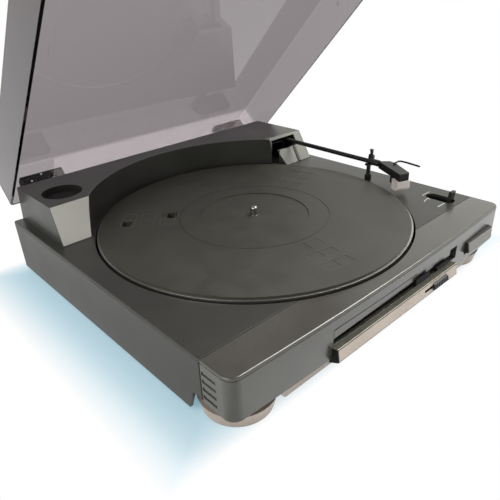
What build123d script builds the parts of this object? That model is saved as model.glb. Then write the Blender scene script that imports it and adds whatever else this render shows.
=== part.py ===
from build123d import *
import os
from math import acos, atan2, cos, degrees, pi, radians, sin, sqrt, tan

# Millimetres. X runs across the deck with 0 at its middle, Y runs from the front edge to the
# back, and Z is the height above the floor. The finished pieces are moved back along Y at the
# end, so that the origin lies under the middle of the whole object.

# General values
overrun = 1.0            # how far a cutting tool passes the face that it cuts
seat_gap = 0.3           # gap beside a piece that is only seated or guided
running_gap = 0.05       # radial clearance of a shaft in its bearing
slide_gap = 0.1          # clearance of a sliding piece in its guide
wall = 2.5               # moulded wall of the shell

# Deck and shell
side_margin = 18.3       # deck beside the well, on the left
front_margin = 11.0      # deck before the well
back_margin = 23.2       # deck behind the well
deck_top = 57.0
shell_bottom = 4.7
deck_edge_round = 1.8
seam_y = 34.0            # joint between the deck and the front moulding
seam_gap = 0.5
side_seam_width = 1.0    # the joint opens into a groove down the sides
side_seam_depth = 1.5
edge_line_drop = 2.1     # fine groove under the rounded edge of the deck
edge_line_height = 0.7
edge_line_depth = 0.5
notch_top = 22.5         # the side walls step up here, behind the front feet
notch_back_low = 51.0
notch_back_high = 45.0

# Platter well
platter_x = -7.8
well_gap = 2.1           # round the platter
well_wall = 2.2
well_floor_top = 35.5

# Front moulding
front_bow = 4.2          # how far the corners lie behind the middle of the front edge
front_corner = 9.0
front_bottom = 21.0
front_wall = 2.6
front_edge_round = 1.5
groove_count = 4
groove_depth = 0.7
groove_height = 3.2
groove_pitch = 6.6
groove_top = 48.6
groove_y = (19.0, 33.0)

# Recess, its strip and the slot for the selector keys
recess_left_step = 0.8   # from the bar's left end
recess_button_gap = 19.0
recess_z = (33.0, 45.6)
strip_end_gap = 9.0
strip_bottom = 38.5
strip_thick = 1.5
strip_depth_left = 0.8
strip_depth_right = 2.5
strip_frame_thick = 2.0
strip_frame_y = (6.0, 8.0)
strip_ear_front = 4.1
strip_ear = 8.0          # how far the frame reaches past the recess at each end

# Bar across the front
bar_left_inset = 93.2
bar_button_gap = 24.0
bar_top_back = (0.6, 30.2)
bar_top_front = (-3.9, 30.9)
bar_bottom_front = (-5.4, 19.9)
bar_bottom_back = (1.3, 15.8)
bar_trim_thick = 0.5
bar_trim_inset = 1.0
bar_stud_radius = 2.0
bar_stud_length = 5.0
bar_stud_inset = 16.0
bar_stud_z = 26.6

# Slide knob on the bar
knob_width = 23.0
knob_inset = 20.0        # from the bar's right end
knob_z = (22.2, 28.6)
knob_proud = 2.2
knob_rib_count = 8
knob_rib_depth = 0.5
knob_rib_width = 1.2
knob_tongue_half = (4.0, 1.2)
knob_tongue_depth = 2.6
knob_slot_depth = 3.0
knob_travel = 20.0

# Selector keys
key_plate_y = (-0.1, 0.5)
key_stem_z = (33.8, 36.0)
speed_travel = 14.0
size_travel = 8.0
speed_key_width = 21.0
speed_key_top = 39.7
size_key_width = 19.0
key_end_gap = 16.0       # from the right end of the recess
key_gap = 13.0           # between the two keys
size_key_top = 37.6
key_bottom = 33.6
key_foot_y = (8.1, 9.2)
key_foot_z = (31.8, 38.0)
key_rail_thick = 2.0

# Start button
button_width = 50.0
button_inset = 20.0      # from the right side of the deck
button_end_round = 7.0
button_top = 41.2
button_front_top = (-0.8, 40.9)
button_front_bottom = (-3.1, 30.8)
button_bottom = 27.6
button_back = 8.0
button_face_thick = 0.8
button_face_inset = 1.0
button_stem_radius = 2.4
button_stem_length = 20.0
button_stem_inset = 28.0
button_stem_z = 34.4
button_stem_flange = 1.5
button_guide_radius = 4.4
button_guide_y = (17.0, 24.0)
button_spring_wire = 0.35
button_spring_turns = 5
button_guide_foot = 7.0

# Bottom tray
tray_wall = 2.2
tray_gap = 0.3
tray_rim_top = 16.0
tray_front = 8.0
tray_front_top = 22.9
skirt_inset_bottom = 53.0
skirt_inset_top = 41.5
skirt_crease = 3.0
tray_step_y = 66.5

# Feet
foot_inset = 31.5
front_foot_y = 36.0
front_foot_top = 12.0
front_foot_radius_top = 29.2
front_foot_radius_bottom = 26.3
foot_neck_radius = 14.0
foot_shelf_radius = 21.0
foot_shelf_top = 22.4
rear_foot_inset = 36.0
rear_foot_radius = 22.0
foot_clear = 0.6         # a foot's own plastic stands this far off the floor
foot_side_gap = 0.6      # room between a front foot and the tray around it
pad_radius = 20.0
pad_hole = 8.0
pad_thick = 1.6
screw_radius = 1.6
screw_head_radius = 3.2
screw_head_height = 2.0
foot_screw_length = 9.0

# Rear bridge with its two towers
bridge_rise = 33.0       # above the deck
bridge_wall = 2.5
tower_inset = 9.5        # from the deck's side, at the foot of the tower
tower_side_lean = 2.0
tower_depth = 95.5       # from the rear face, at the foot of the tower
tower_front_lean = 18.5
bridge_arc_gap = 3.1     # from the well to the bridge's round wall
bridge_edge_round = 1.0
adaptor_inset = (28.4, 29.8)
adaptor_radius = 19.4
adaptor_depth = 7.0
arm_gap_reach = (26.0, 14.0)
arm_gap_z = (75.3, 87.3)
arm_slot_angles = (35.0, 38.3)
tower_groove_step = 7.5  # to the right of the arm's axis
tower_groove_radius = 3.6
tower_groove_depth = 1.4
bridge_boss_radius = 4.5
tower_boss_inset = (22.0, 7.0)
back_boss_inset = (17.0, 8.0)
middle_boss_inset = (40.0, 10.0)

# Platter, mat and spindle
mat_radius = 150.0
mat_top = 60.9
mat_thick = 3.9
label_radius = 54.0
label_depth = 0.8
mat_ring_radius = 73.5
mat_ring_width = 0.6
mat_ring_depth = 0.4
window_angles = (140.0, 20.0, -100.0)
window_half = 15.0
window_cell_shares = ((0.52, 0.62), (0.653, 0.74), (0.777, 0.867))
window_rib = 0.8
window_depth = 0.5
sight_cell_shares = ((0.803, 0.86, 1), (0.513, 0.577, -1))
sight_half = 6.0
platter_lip = 1.8        # round the mat
platter_lip_top = 58.9
platter_plate = 1.8
platter_skirt_bottom = 47.0
platter_skirt_wall = 2.4
drive_ring_share = 0.62  # of the mat's radius
drive_ring_wall = 2.5
drive_ring_bottom = 39.5
hub_radius = 10.0
hub_bottom = 44.5
spindle_radius = 3.6     # its upper part, which takes the record
spindle_shaft_radius = 4.0
spindle_top = 69.0
spindle_bottom = 14.5
tip_round_share = 0.6

# Spindle bearing in the well floor
bearing_radius = 7.5
bearing_flange_radius = 12.0
bearing_flange = 2.0
bearing_bottom = 12.0
thrust_thick = 1.2

# Pinion on the hub and the cam gear that it drives
gear_module = 1.0
pinion_teeth = 14
cam_teeth = 70
pressure_angle = 20.0
addendum_share = 0.9
dedendum_share = 1.25
flank_steps = 3
tooth_slack = 0.16       # taken off a tooth's thickness at the pitch circle
gear_spread = 0.10       # added to the distance between the two axes
cam_angle = 28.0
cam_z = (38.5, 43.0)
pinion_bottom = 38.0
cam_post_radius = 3.0
cam_post_flange = 6.0
cam_post_top = 46.0
cam_hub_radius = 7.5
cam_web = 2.0
cam_rim = 4.5
cam_track_radius = 19.0
cam_track_offset = 6.0
cam_track_width = 3.5
cam_track_wall = 1.6
clip_radius = 5.2
clip_thick = 0.8
clip_groove = 0.6

# Motor, pulley and belt
motor_angle = 140.0
motor_distance_share = 0.8   # of the mat's radius
motor_radius = 17.5
motor_z = (9.6, 29.0)
motor_plate = 1.0
motor_plate_half = (26.0, 13.0)
motor_mount_spread = 21.0
grommet_radius = 4.5
motor_boss_radius = 5.5
motor_boss_height = 4.0
motor_screw_tip = 38.0
motor_shaft_radius = 1.0
motor_shaft_top = 50.0
motor_nose_radius = 4.0
motor_nose_height = 2.5
pulley_radius = 6.2
pulley_z = (39.5, 48.5)
pulley_flange = 1.2
pulley_flange_thick = 1.0
pulley_hole_radius = 9.0
belt_thick = 0.8
belt_z = (41.4, 46.4)

# Tone arm
arm_inset = (28.5, 37.0)     # from the tower's side and from its upper front edge
arm_pivot_z = 84.5
arm_rest_angle = 3.42    # turned outwards from straight ahead, in degrees
arm_tube_radius = 2.5
arm_tube_wall = 0.6
arm_reach = 172.5        # from the pivot to the bend
arm_drop = 5.9           # how much lower the bend is
head_angle = 29.0        # the head's turn towards the platter, from straight ahead
arm_shaft_radius = 3.0
arm_shaft_end = 6.0      # below the drive plate
arm_base_radius = 15.0
arm_base_flange = 3.0
arm_base_column = 8.0
arm_base_top = 68.0
arm_base_foot = 48.0
yoke_radius = 11.0
yoke_plate = 3.0
yoke_cheek = 2.4
yoke_half = 9.6
yoke_length = 9.0
yoke_top = 86.8
pivot_pin_radius = 1.2
pivot_block_half = (5.0, 6.0, 1.9)
pivot_plug = 4.0
tail_radius = 1.2
tail_length = 26.0
counterweight_radius = 8.5
counterweight_length = 13.0
counterweight_gap = 11.8
counterweight_drop = 6.8
drive_plate_thick = 1.5
drive_plate_z = 36.0
drive_plate_length = 34.0
drive_plate_half = 7.0

# Head, drawn from the bend of the arm: across it, and ahead of it
head_outline = ((-0.8, 0.0), (-0.2, 46.5), (11.5, 44.5), (13.1, 12.6), (10.4, 3.9))
head_top = 81.5
head_top_thick = 1.0
head_bottom = 73.5
head_wall = 1.2
collar_radius = 3.6
collar_length = 9.0
neck_radius = 1.8
neck_length = 8.0
cartridge_x = 5.8
cartridge_y = (26.0, 44.0)
cartridge_half = 5.6
cartridge_half_top = 4.4
cartridge_top_front = 42.8
cartridge_bottom = 66.0
stylus_half = 3.4
stylus_y = (27.0, 34.5)
stylus_bottom = 64.4
cantilever_radius = 0.35
cantilever_end = 39.0
stylus_tip = 63.6
stylus_tip_radius = 0.25
guard_back = 33.0
guard_bottom = 62.0
guard_wall = 1.3
guard_round = 4.0
lift_radius = 1.0
lift_points = ((9.2, 15.25), (18.8, 9.9), (23.05, 16.8), (26.0, 24.5), (29.3, 33.3))
lift_bend = 2.5
lift_pad = (3.0, 2.2)
lift_pad_thick = 0.8

# Arm rest and its clip
rest_step = 13.3         # from the bend, back along the arm
rest_base_radius = 3.8
rest_base_top = 64.0
rest_post_radius = 2.3
rest_saddle_half = (3.0, 3.2)
rest_saddle_thick = 2.2
rest_wall_x = (3.0, 6.0)
rest_wall_top = 81.4
clip_pivot = (4.9, 83.65)
clip_knuckle = 1.8
clip_half = 1.5
clip_lug = 1.4
clip_pin_radius = 0.8
clip_bar = 2.0
clip_bar_length = 8.0
clip_tip = (1.4, 1.3)

# Lifter under the arm
lifter_radii = (24.0, 29.0)
lifter_angles = (-124.0, -66.0)
lifter_thick = 2.0
lifter_rod_radius = 1.5
lifter_rod_angle = -70.0
lifter_rod_bottom = 46.0
lifter_guide_radius = 3.4
lifter_guide_top = 66.0
lifter_rise = 0.8

# Cue lever
cue_inset = 18.0
cue_width = 14.5
cue_y = (39.5, 70.0)
cue_paddle_half = 3.7
cue_paddle_y = (43.4, 47.0)
cue_paddle_z = (47.6, 68.0)
cue_lean = 2.6
cue_neck_half = 1.4
cue_slit_half = 1.6
cue_trough_wall = 1.6
cue_trough_bottom = 45.5
cue_trough_margin = 3.0
cue_slide_z = (40.4, 43.4)
cue_slide_half = 4.5
cue_slide_y = (38.0, 56.0)
cue_rod_z = 41.9
cue_rod_radius = 1.5
cue_rod_step = 1.0       # from the right side of the slot
cue_rod_stop = 20.0      # short of the arm's axis
cue_wedge_steps = (1.5, 2.0)
cue_wedge_bottom = 42.0
cue_wedge_past = 3.0     # how far the wedge reaches past the lifter's rod at each end
cue_travel = 21.0

# Dust cover and hinges, drawn shut and then opened to the angle of the photograph
lid_inset = 2.0
lid_front = 5.5
lid_back_gap = 4.0
lid_wall = 2.7
lid_height = 42.0
lid_corner = 18.0
lid_back_corner = 5.0
lid_edge_round = 4.0
lid_open = 46.0
hinge_behind = 21.0      # from the rear face to the pins
hinge_rise = 6.0         # from the deck to the pins
hinge_width = 46.0
hinge_inset = 24.0
hinge_block_rise = (3.0, 27.5)
hinge_block_depth = 9.0
hinge_barrel = 5.5
hinge_pin_radius = 2.0
hinge_tongue_half = 7.0
hinge_middle_rise = 2.0  # how much higher the block's middle part starts on the lid
hinge_groove = 1.6
hinge_groove_depth = 1.2
hinge_plate_z = (38.0, 55.6)
hinge_plate_thick = 3.0
hinge_tongue_z = (45.0, 53.5)
hinge_tongue_upper = (5.4, 1.0)   # before and below the pin
hinge_tongue_lower = (2.0, 5.0)

# Inside and rear
transformer_inset = 20.0
transformer_width = 44.0
transformer_depth = 36.0
transformer_z = (8.4, 44.0)
transformer_foot = 6.0
core_step = 10.0
coil_step = 7.0
coil_z = (14.0, 38.0)
board_x = (18.0, 108.0)
board_y = (196.0, 262.0)
board_z = 14.0
board_thick = 1.6
board_post_radius = 2.5
board_post_inset = 5.0
chip_size = (22.0, 8.0, 4.0)
chip_places = ((50.0, 214.0), (50.0, 244.0))
capacitor_places = ((82.0, 214.0), (82.0, 230.0), (82.0, 246.0))
capacitor_radius = 5.0
capacitor_height = 12.0
gland_x = (92.0, 74.0)
gland_z = 24.0
gland_radius = 5.0
gland_flange = 7.0
gland_flange_thick = 2.0
gland_length = 9.0
gland_bore = 2.2
tray_boss_radius = 5.0
tray_boss_inset = 11.5
tray_boss_y = 80.0
tray_back_boss_inset = (30.0, 9.0)
tray_screw_length = 14.0

# Values that follow from those above
stem_slot = (key_stem_z[0] - slide_gap, key_stem_z[1] + slide_gap)
bore_bottom = spindle_bottom - thrust_thick
lifter_middle = (lifter_radii[0] + lifter_radii[1]) / 2
platter_radius = mat_radius + platter_lip
well_radius = platter_radius + well_gap
platter_y = well_radius + front_margin
platter_axis = (platter_x, platter_y)
half_width = well_radius - platter_x + side_margin
deck_back = platter_y + well_radius + back_margin
drive_ring_radius = mat_radius * drive_ring_share
motor_distance = mat_radius * motor_distance_share
button_x = (half_width - button_inset - button_width, half_width - button_inset)
button_stem_x = button_x[0] + button_stem_inset
bar_x = (bar_left_inset - half_width, button_x[0] - bar_button_gap)
bar_stud_x = bar_x[1] - bar_stud_inset
recess_x = (bar_x[0] + recess_left_step, button_x[0] - recess_button_gap)
strip_right = recess_x[1] - strip_end_gap
knob_x = (bar_x[1] - knob_inset - knob_width, bar_x[1] - knob_inset)
size_key_right = recess_x[1] - key_end_gap
size_key_x = (size_key_right - size_key_width, size_key_right)
speed_key_right = size_key_x[0] - key_gap
speed_key_x = (speed_key_right - speed_key_width, speed_key_right)
skirt_half_bottom = half_width - skirt_inset_bottom
skirt_half_top = half_width - skirt_inset_top
foot_x = half_width - foot_inset
rear_foot_y = deck_back - rear_foot_inset
bridge_top = deck_top + bridge_rise
bridge_arc = well_radius + bridge_arc_gap
tower_half_low = half_width - tower_inset
tower_half_high = tower_half_low - tower_side_lean
tower_front_low = deck_back - tower_depth
tower_front_high = tower_front_low + tower_front_lean
recess_centre = (adaptor_inset[0] - tower_half_low, tower_front_high + adaptor_inset[1])
tower_boss_at = (tower_boss_inset[0] - half_width, tower_front_high + tower_boss_inset[1])
back_boss_x = half_width - back_boss_inset[0]
back_boss_y = deck_back - back_boss_inset[1]
middle_boss_x = middle_boss_inset[0]
middle_boss_y = deck_back - middle_boss_inset[1]
bridge_boss_places = (
    tower_boss_at,
    (back_boss_x, back_boss_y),
    (-back_boss_x, back_boss_y),
    (middle_boss_x, middle_boss_y),
    (-middle_boss_x, middle_boss_y),
)
tray_boss_x = half_width - tray_boss_inset
tray_back_boss_x = half_width - tray_back_boss_inset[0]
tray_back_boss_y = deck_back - tray_back_boss_inset[1]
tray_boss_places = (
    (-tray_boss_x, tray_boss_y),
    (tray_boss_x, tray_boss_y),
    (-tray_back_boss_x, tray_back_boss_y),
    (tray_back_boss_x, tray_back_boss_y),
)
arm_x = tower_half_low - arm_inset[0]
arm_y = tower_front_high + arm_inset[1]
arm_gap_x = (arm_x - arm_gap_reach[0], arm_x + arm_gap_reach[1])
tower_groove_x = arm_x + tower_groove_step
rest_distance = arm_reach - rest_step
arm_shaft_bottom = drive_plate_z - arm_shaft_end
cue_x = (half_width - cue_inset - cue_width, half_width - cue_inset)
cue_rod_x = cue_x[1] - cue_rod_step
cue_rod_end = arm_y - cue_rod_stop
cue_wedge_x = (cue_x[0] + cue_wedge_steps[0], cue_x[1] + cue_wedge_steps[1])
lid_half = half_width - lid_inset
lid_back = deck_back + lid_back_gap
hinge_y = deck_back + hinge_behind
hinge_z = deck_top + hinge_rise
hinge_x = (half_width - hinge_inset - hinge_width, half_width - hinge_inset)
hinge_block_z = (deck_top + hinge_block_rise[0], deck_top + hinge_block_rise[1])
transformer_x = (transformer_inset - half_width, transformer_inset - half_width + transformer_width)
transformer_y = (deck_back - transformer_inset - transformer_depth, deck_back - transformer_inset)
core_y = (transformer_y[0] + core_step, transformer_y[1] - core_step)
coil_x = (transformer_x[0] + coil_step, transformer_x[1] - coil_step)
deck_under = deck_top - wall
edge_line_z = (deck_top - edge_line_drop - edge_line_height, deck_top - edge_line_drop)
well_floor_under = well_floor_top - wall
plate_top = mat_top - mat_thick
pinion_pitch = gear_module * pinion_teeth / 2
cam_pitch = gear_module * cam_teeth / 2
cam_distance = pinion_pitch + cam_pitch + gear_spread
cam_axis = (
    platter_x + cam_distance * cos(radians(cam_angle)),
    platter_y + cam_distance * sin(radians(cam_angle)),
)
motor_axis = (
    platter_x + motor_distance * cos(radians(motor_angle)),
    platter_y + motor_distance * sin(radians(motor_angle)),
)
motor_places = (
    (motor_axis[0] - motor_mount_spread, motor_axis[1]),
    (motor_axis[0] + motor_mount_spread, motor_axis[1]),
)
arm_axis = (arm_x, arm_y)
lifter_place = (
    arm_x + lifter_middle * cos(radians(lifter_rod_angle)),
    arm_y + lifter_middle * sin(radians(lifter_rod_angle)),
)
arm_heading = radians(-90 + arm_rest_angle)
arm_pitch = atan2(arm_drop, arm_reach)
bend_point = (
    arm_x + arm_reach * cos(arm_heading),
    arm_y + arm_reach * sin(arm_heading),
    arm_pivot_z - arm_drop,
)
rest_place = (
    arm_x + rest_distance * cos(arm_heading),
    arm_y + rest_distance * sin(arm_heading),
)
rest_tube_z = arm_pivot_z - rest_distance * tan(arm_pitch)
arm_run = sqrt(arm_reach * arm_reach + arm_drop * arm_drop)
lifter_top = arm_pivot_z - lifter_radii[1] * tan(arm_pitch) - arm_tube_radius - seat_gap
bar_lean = (bar_top_front[0] - bar_bottom_front[0]) / (bar_top_front[1] - bar_bottom_front[1])
knob_middle = ((knob_x[0] + knob_x[1]) / 2, (knob_z[0] + knob_z[1]) / 2)


def block(x, y, z):
    """A box between pairs of limits."""
    limits = (x, y, z)
    size = [high - low for low, high in limits]
    centre = [(high + low) / 2 for low, high in limits]
    return Pos(*centre) * Box(*size)


def upright(radius, z, at):
    """A cylinder that stands from z[0] to z[1]."""
    return Pos(at[0], at[1], (z[0] + z[1]) / 2) * Cylinder(radius, z[1] - z[0])


def along_x(radius, x, y, z):
    """A cylinder that lies along X."""
    return Pos((x[0] + x[1]) / 2, y, z) * Rot(0, 90, 0) * Cylinder(radius, x[1] - x[0])


def along_y(radius, y, x, z):
    """A cylinder that lies along Y."""
    return Pos(x, (y[0] + y[1]) / 2, z) * Rot(90, 0, 0) * Cylinder(radius, y[1] - y[0])


def section_x(points, x):
    """A section drawn in Y and Z, run along X."""
    face = make_face(Polyline(*[(x[0], y, z) for y, z in points], close=True))
    return extrude(face, amount=x[1] - x[0], dir=(1, 0, 0))


def section_y(points, y):
    """A section drawn in X and Z, run along Y."""
    face = make_face(Polyline(*[(x, y[0], z) for x, z in points], close=True))
    return extrude(face, amount=y[1] - y[0], dir=(0, 1, 0))


def plan_z(points, z):
    """An outline drawn in X and Y, run upwards."""
    face = make_face(Polyline(*[(x, y, z[0]) for x, y in points], close=True))
    return extrude(face, amount=z[1] - z[0], dir=(0, 0, 1))


def both_sides(shape):
    """The shape and its mirror image across the middle of the deck."""
    return shape + mirror(shape, about=Plane.YZ)


def cabinet():
    """Deck, side and rear walls and the platter well, moulded in one piece."""
    front = seam_y + seam_gap / 2
    shell = block((-half_width, half_width), (front, deck_back), (shell_bottom, deck_top))
    back_corners = shell.edges().filter_by(Axis.Z).group_by(Axis.Y)[-1]
    shell = fillet(back_corners, deck_edge_round)
    side_tops = shell.edges().filter_by(Axis.Y).group_by(Axis.Z)[-1]
    shell = fillet(side_tops, deck_edge_round)
    inner = half_width - wall
    shell -= block((-inner, inner), (front - overrun, deck_back - wall), (shell_bottom - overrun, deck_under))
    shell += upright(well_radius + well_wall, (well_floor_under, deck_under), platter_axis)
    shell -= upright(well_radius, (well_floor_top, deck_top + overrun), platter_axis)
    brow = (deck_under - seat_gap, deck_top + overrun)
    shell -= block((-half_width, half_width), (0, front), brow)
    notch = [
        (front - overrun, notch_top),
        (notch_back_high, notch_top),
        (notch_back_low, shell_bottom - overrun),
        (front - overrun, shell_bottom - overrun),
    ]
    shell -= section_x(notch, (-half_width - overrun, half_width + overrun))
    line = (-half_width - overrun, edge_line_depth - half_width)
    shell -= both_sides(block(line, (front - overrun, deck_back + overrun), edge_line_z))
    joint = (-half_width - overrun, side_seam_depth - half_width)
    shell -= both_sides(block(joint, (front - overrun, front + side_seam_width), (notch_top, edge_line_z[0])))
    for place in tray_boss_places:
        shell += upright(tray_boss_radius, (tray_rim_top, deck_under), place)
        shell -= upright(screw_radius, (tray_rim_top - overrun, tray_rim_top + tray_screw_length), place)
    floor = (well_floor_under - overrun, well_floor_top + overrun)
    shell -= upright(bearing_radius, floor, platter_axis)
    shell -= upright(cam_post_radius, floor, cam_axis)
    shell -= upright(pulley_hole_radius, floor, motor_axis)
    deck = (deck_under - overrun, deck_top + overrun)
    shell -= upright(arm_base_column, deck, arm_axis)
    shell -= upright(lifter_guide_radius, deck, lifter_place)
    for place in bridge_boss_places:
        shell -= upright(screw_radius, deck, place)
    for place in motor_places:
        shell += upright(motor_boss_radius, (well_floor_under, well_floor_top + motor_boss_height), place)
        shell -= upright(screw_radius, (floor[0], motor_screw_tip), place)
    shell -= upright(rest_post_radius, deck, rest_place)
    shell -= stadium(cue_x, cue_y, deck)
    for x in gland_x:
        shell -= along_y(gland_radius, (deck_back - wall - overrun, deck_back + overrun), x, gland_z)
    return shell


def stadium(x, y, z):
    """A slot with round ends that runs along Y."""
    radius = (x[1] - x[0]) / 2
    middle = (x[0] + x[1]) / 2
    body = block(x, (y[0] + radius, y[1] - radius), z)
    body += upright(radius, z, (middle, y[0] + radius))
    return body + upright(radius, z, (middle, y[1] - radius))


def front_plan(inset, back, z):
    """The bowed outline of the front moulding, drawn inset from its outside."""
    half = half_width - inset
    corner = front_bow + inset
    outline = [
        ThreePointArc((-half, corner), (0, inset), (half, corner)),
        Line((half, corner), (half, back)),
        Line((half, back), (-half, back)),
        Line((-half, back), (-half, corner)),
    ]
    face = make_face(outline)
    front_pair = face.vertices().sort_by(Axis.Y)[:2]
    face = fillet(front_pair, front_corner - inset)
    return Pos(0, 0, z[0]) * extrude(face, amount=z[1] - z[0])


def front_panel():
    """Front moulding with the front strip of the deck."""
    back = seam_y - seam_gap / 2
    panel = front_plan(0, back, (front_bottom, deck_top))
    top_edges = panel.edges().group_by(Axis.Z)[-1].sort_by(Axis.Y)
    panel = fillet(top_edges[:-1], front_edge_round)
    panel -= front_plan(front_wall, back + overrun, (front_bottom - overrun, deck_under))
    panel -= upright(well_radius, (front_bottom, deck_top + overrun), platter_axis)
    panel -= block(recess_x, (-overrun, strip_frame_y[0]), recess_z)
    button_gap = (button_x[0] - seat_gap, button_x[1] + seat_gap)
    button_height = (button_bottom - seat_gap, button_top + seat_gap)
    panel -= block(button_gap, (-overrun, button_back + overrun), button_height)
    for side in (-1, 1):
        panel -= along_y(bar_stud_radius, (-overrun, front_wall + overrun), side * bar_stud_x, bar_stud_z)
    line = front_plan(-overrun, back + overrun, edge_line_z)
    panel -= line - front_plan(edge_line_depth, back + 2 * overrun, edge_line_z)
    for i in range(groove_count):
        top = groove_top - i * groove_pitch
        tool = block((-half_width - overrun, groove_depth - half_width), groove_y, (top - groove_height, top))
        panel -= both_sides(tool)
    return panel


def strip_depth(x):
    """How far the printed strip lies behind the front edge at a place along it."""
    share = (x - recess_x[0]) / (strip_right - recess_x[0])
    return strip_depth_left + share * (strip_depth_right - strip_depth_left)


def recess_strip():
    """Pale strip that closes the recess, with the frame that carries the selector keys."""
    left = recess_x[0] + seat_gap
    z = (strip_bottom, recess_z[1] - seat_gap)
    plan = [
        (left, strip_depth(left)),
        (strip_right, strip_depth(strip_right)),
        (strip_right, strip_depth(strip_right) + strip_thick),
        (left, strip_depth(left) + strip_thick),
    ]
    strip = plan_z(plan, z)
    ends = (recess_x[0] - strip_ear, recess_x[1] + strip_ear)
    back = strip_frame_y[0]
    for x in (left, (left + strip_right) / 2, strip_right - strip_frame_thick):
        strip += block((x, x + strip_frame_thick), (strip_depth(x) + strip_thick / 2, back), z)
    frame = block(ends, strip_frame_y, (key_bottom - key_rail_thick, recess_z[1] + key_rail_thick))
    for x in ((ends[0], recess_x[0]), (recess_x[1], ends[1])):
        frame += block(x, (strip_ear_front, back), z)
    for x, travel in ((speed_key_x, speed_travel), (size_key_x, size_travel)):
        inside = (x[0] - travel - seat_gap, x[1] + seat_gap)
        frame -= block(inside, (back - overrun, strip_frame_y[1] + overrun), stem_slot)
    return strip + frame


def selector_key(x, top):
    """A key that slides along the slot: its thumb plate, stem and foot."""
    key = block(x, key_plate_y, (key_bottom, top))
    key += block(x, (key_plate_y[0], key_foot_y[1]), key_stem_z)
    return key + block(x, key_foot_y, key_foot_z)


def bar_outline(inset):
    """Section of the bar, with its front face drawn back by the inset."""
    return [
        (bar_top_back[0] + front_wall, bar_top_back[1]),
        (bar_top_front[0] + inset, bar_top_front[1]),
        (bar_bottom_front[0] + inset, bar_bottom_front[1]),
        (bar_bottom_back[0] + front_wall, bar_bottom_back[1]),
    ]


def bar_face(z):
    """How far forward the bar's face stands at a height."""
    return bar_top_front[0] - (bar_top_front[1] - z) * bar_lean


def knob_slot():
    """Slot in the bar and its trim in which the knob's tongue runs."""
    middle, z = knob_middle
    half, high = knob_tongue_half
    across = (middle - half - knob_travel - slide_gap, middle + half + slide_gap)
    depth = (bar_bottom_front[0] - overrun, bar_face(z) + knob_slot_depth)
    return block(across, depth, (z - high - slide_gap, z + high + slide_gap))


def control_bar():
    """Bar that stands across the lower edge of the front."""
    bar = section_x(bar_outline(bar_trim_thick), bar_x)
    bar -= front_plan(0, seam_y, (front_bottom, deck_top))
    bar -= knob_slot()
    for side in (-1, 1):
        bar += along_y(bar_stud_radius, (bar_top_front[0] / 2, bar_stud_length), side * bar_stud_x, bar_stud_z)
    return bar


def bar_trim():
    """Flat plate on the front face of the bar."""
    high = bar_top_front[1] - bar_trim_inset
    low = bar_bottom_front[1] + bar_trim_inset
    outline = [
        (bar_face(high), high),
        (bar_face(low), low),
        (bar_face(low) + bar_trim_thick, low),
        (bar_face(high) + bar_trim_thick, high),
    ]
    return section_x(outline, (bar_x[0] + bar_trim_inset, bar_x[1] - bar_trim_inset)) - knob_slot()


def slide_knob():
    """Ribbed knob that clips over the bar's face and slides along it."""
    low, high = knob_z
    y_high = bar_face(high) - slide_gap
    y_low = bar_face(low) - slide_gap
    outline = [
        (y_high, high),
        (y_high - knob_proud, high - knob_rib_width),
        (y_low - knob_proud, low + knob_rib_width),
        (y_low, low),
    ]
    knob = section_x(outline, knob_x)
    groove = [
        (y_high - knob_proud - overrun, high - knob_rib_width),
        (y_high - knob_proud + knob_rib_depth, high - knob_rib_width),
        (y_low - knob_proud + knob_rib_depth, low + knob_rib_width),
        (y_low - knob_proud - overrun, low + knob_rib_width),
    ]
    pitch = (knob_x[1] - knob_x[0]) / knob_rib_count
    for i in range(knob_rib_count):
        x = knob_x[0] + (i + 1 / 2) * pitch
        knob -= section_x(groove, (x - knob_rib_width / 2, x + knob_rib_width / 2))
    middle, z = knob_middle
    half, tall = knob_tongue_half
    depth = (y_low - knob_proud / 2, bar_face(z) + knob_tongue_depth)
    return knob + block((middle - half, middle + half), depth, (z - tall, z + tall))


def button_plan(inset):
    """Prism that rounds the right end of the push button."""
    x = (button_x[0] - overrun, button_x[1] - inset)
    y = (button_front_bottom[0] - seat_gap, button_back + overrun)
    body = block(x, y, (button_bottom - overrun, button_top + overrun))
    corner = body.edges().filter_by(Axis.Z).group_by(Axis.X)[-1].sort_by(Axis.Y)[:1]
    return fillet(corner, button_end_round - inset)


def start_button():
    """Wedge-shaped push button with its stem."""
    outline = [
        (button_back, button_top),
        button_front_top,
        button_front_bottom,
        (button_back, button_bottom),
    ]
    inset = [(y + button_face_thick if y < 0 else y, z) for y, z in outline]
    button = section_x(inset, button_x) & button_plan(0)
    inner = [(y + front_wall if y < button_back else y + overrun, z) for y, z in inset]
    low = inner[2][1] + front_wall / 2
    inner = [
        (inner[0][0], button_top - front_wall / 2),
        (inner[1][0], button_top - front_wall / 2),
        (inner[2][0], low),
        (inner[3][0], button_bottom + front_wall / 2),
    ]
    button -= section_x(inner, (button_x[0] + front_wall, button_x[1] - front_wall))
    stem = (0, button_back + button_stem_length)
    button += along_y(button_stem_radius, stem, button_stem_x, button_stem_z)
    flange = (button_back - button_stem_flange, button_back)
    return button + along_y(button_guide_radius, flange, button_stem_x, button_stem_z)


def start_button_face():
    """Pale plate on the face of the push button, hollowed along its top."""
    top_y, top = button_front_top
    low_y, low = button_front_bottom
    step = button_face_inset * (top_y - low_y) / (top - low)
    outline = [
        (top_y - step, top - button_face_inset),
        (low_y + step, low + button_face_inset),
        (low_y + step + button_face_thick, low + button_face_inset),
        (top_y - step + button_face_thick, top - button_face_inset),
    ]
    plate = section_x(outline, (button_x[0] + button_face_inset, button_x[1] - button_face_inset))
    return plate & button_plan(button_face_inset)


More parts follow.
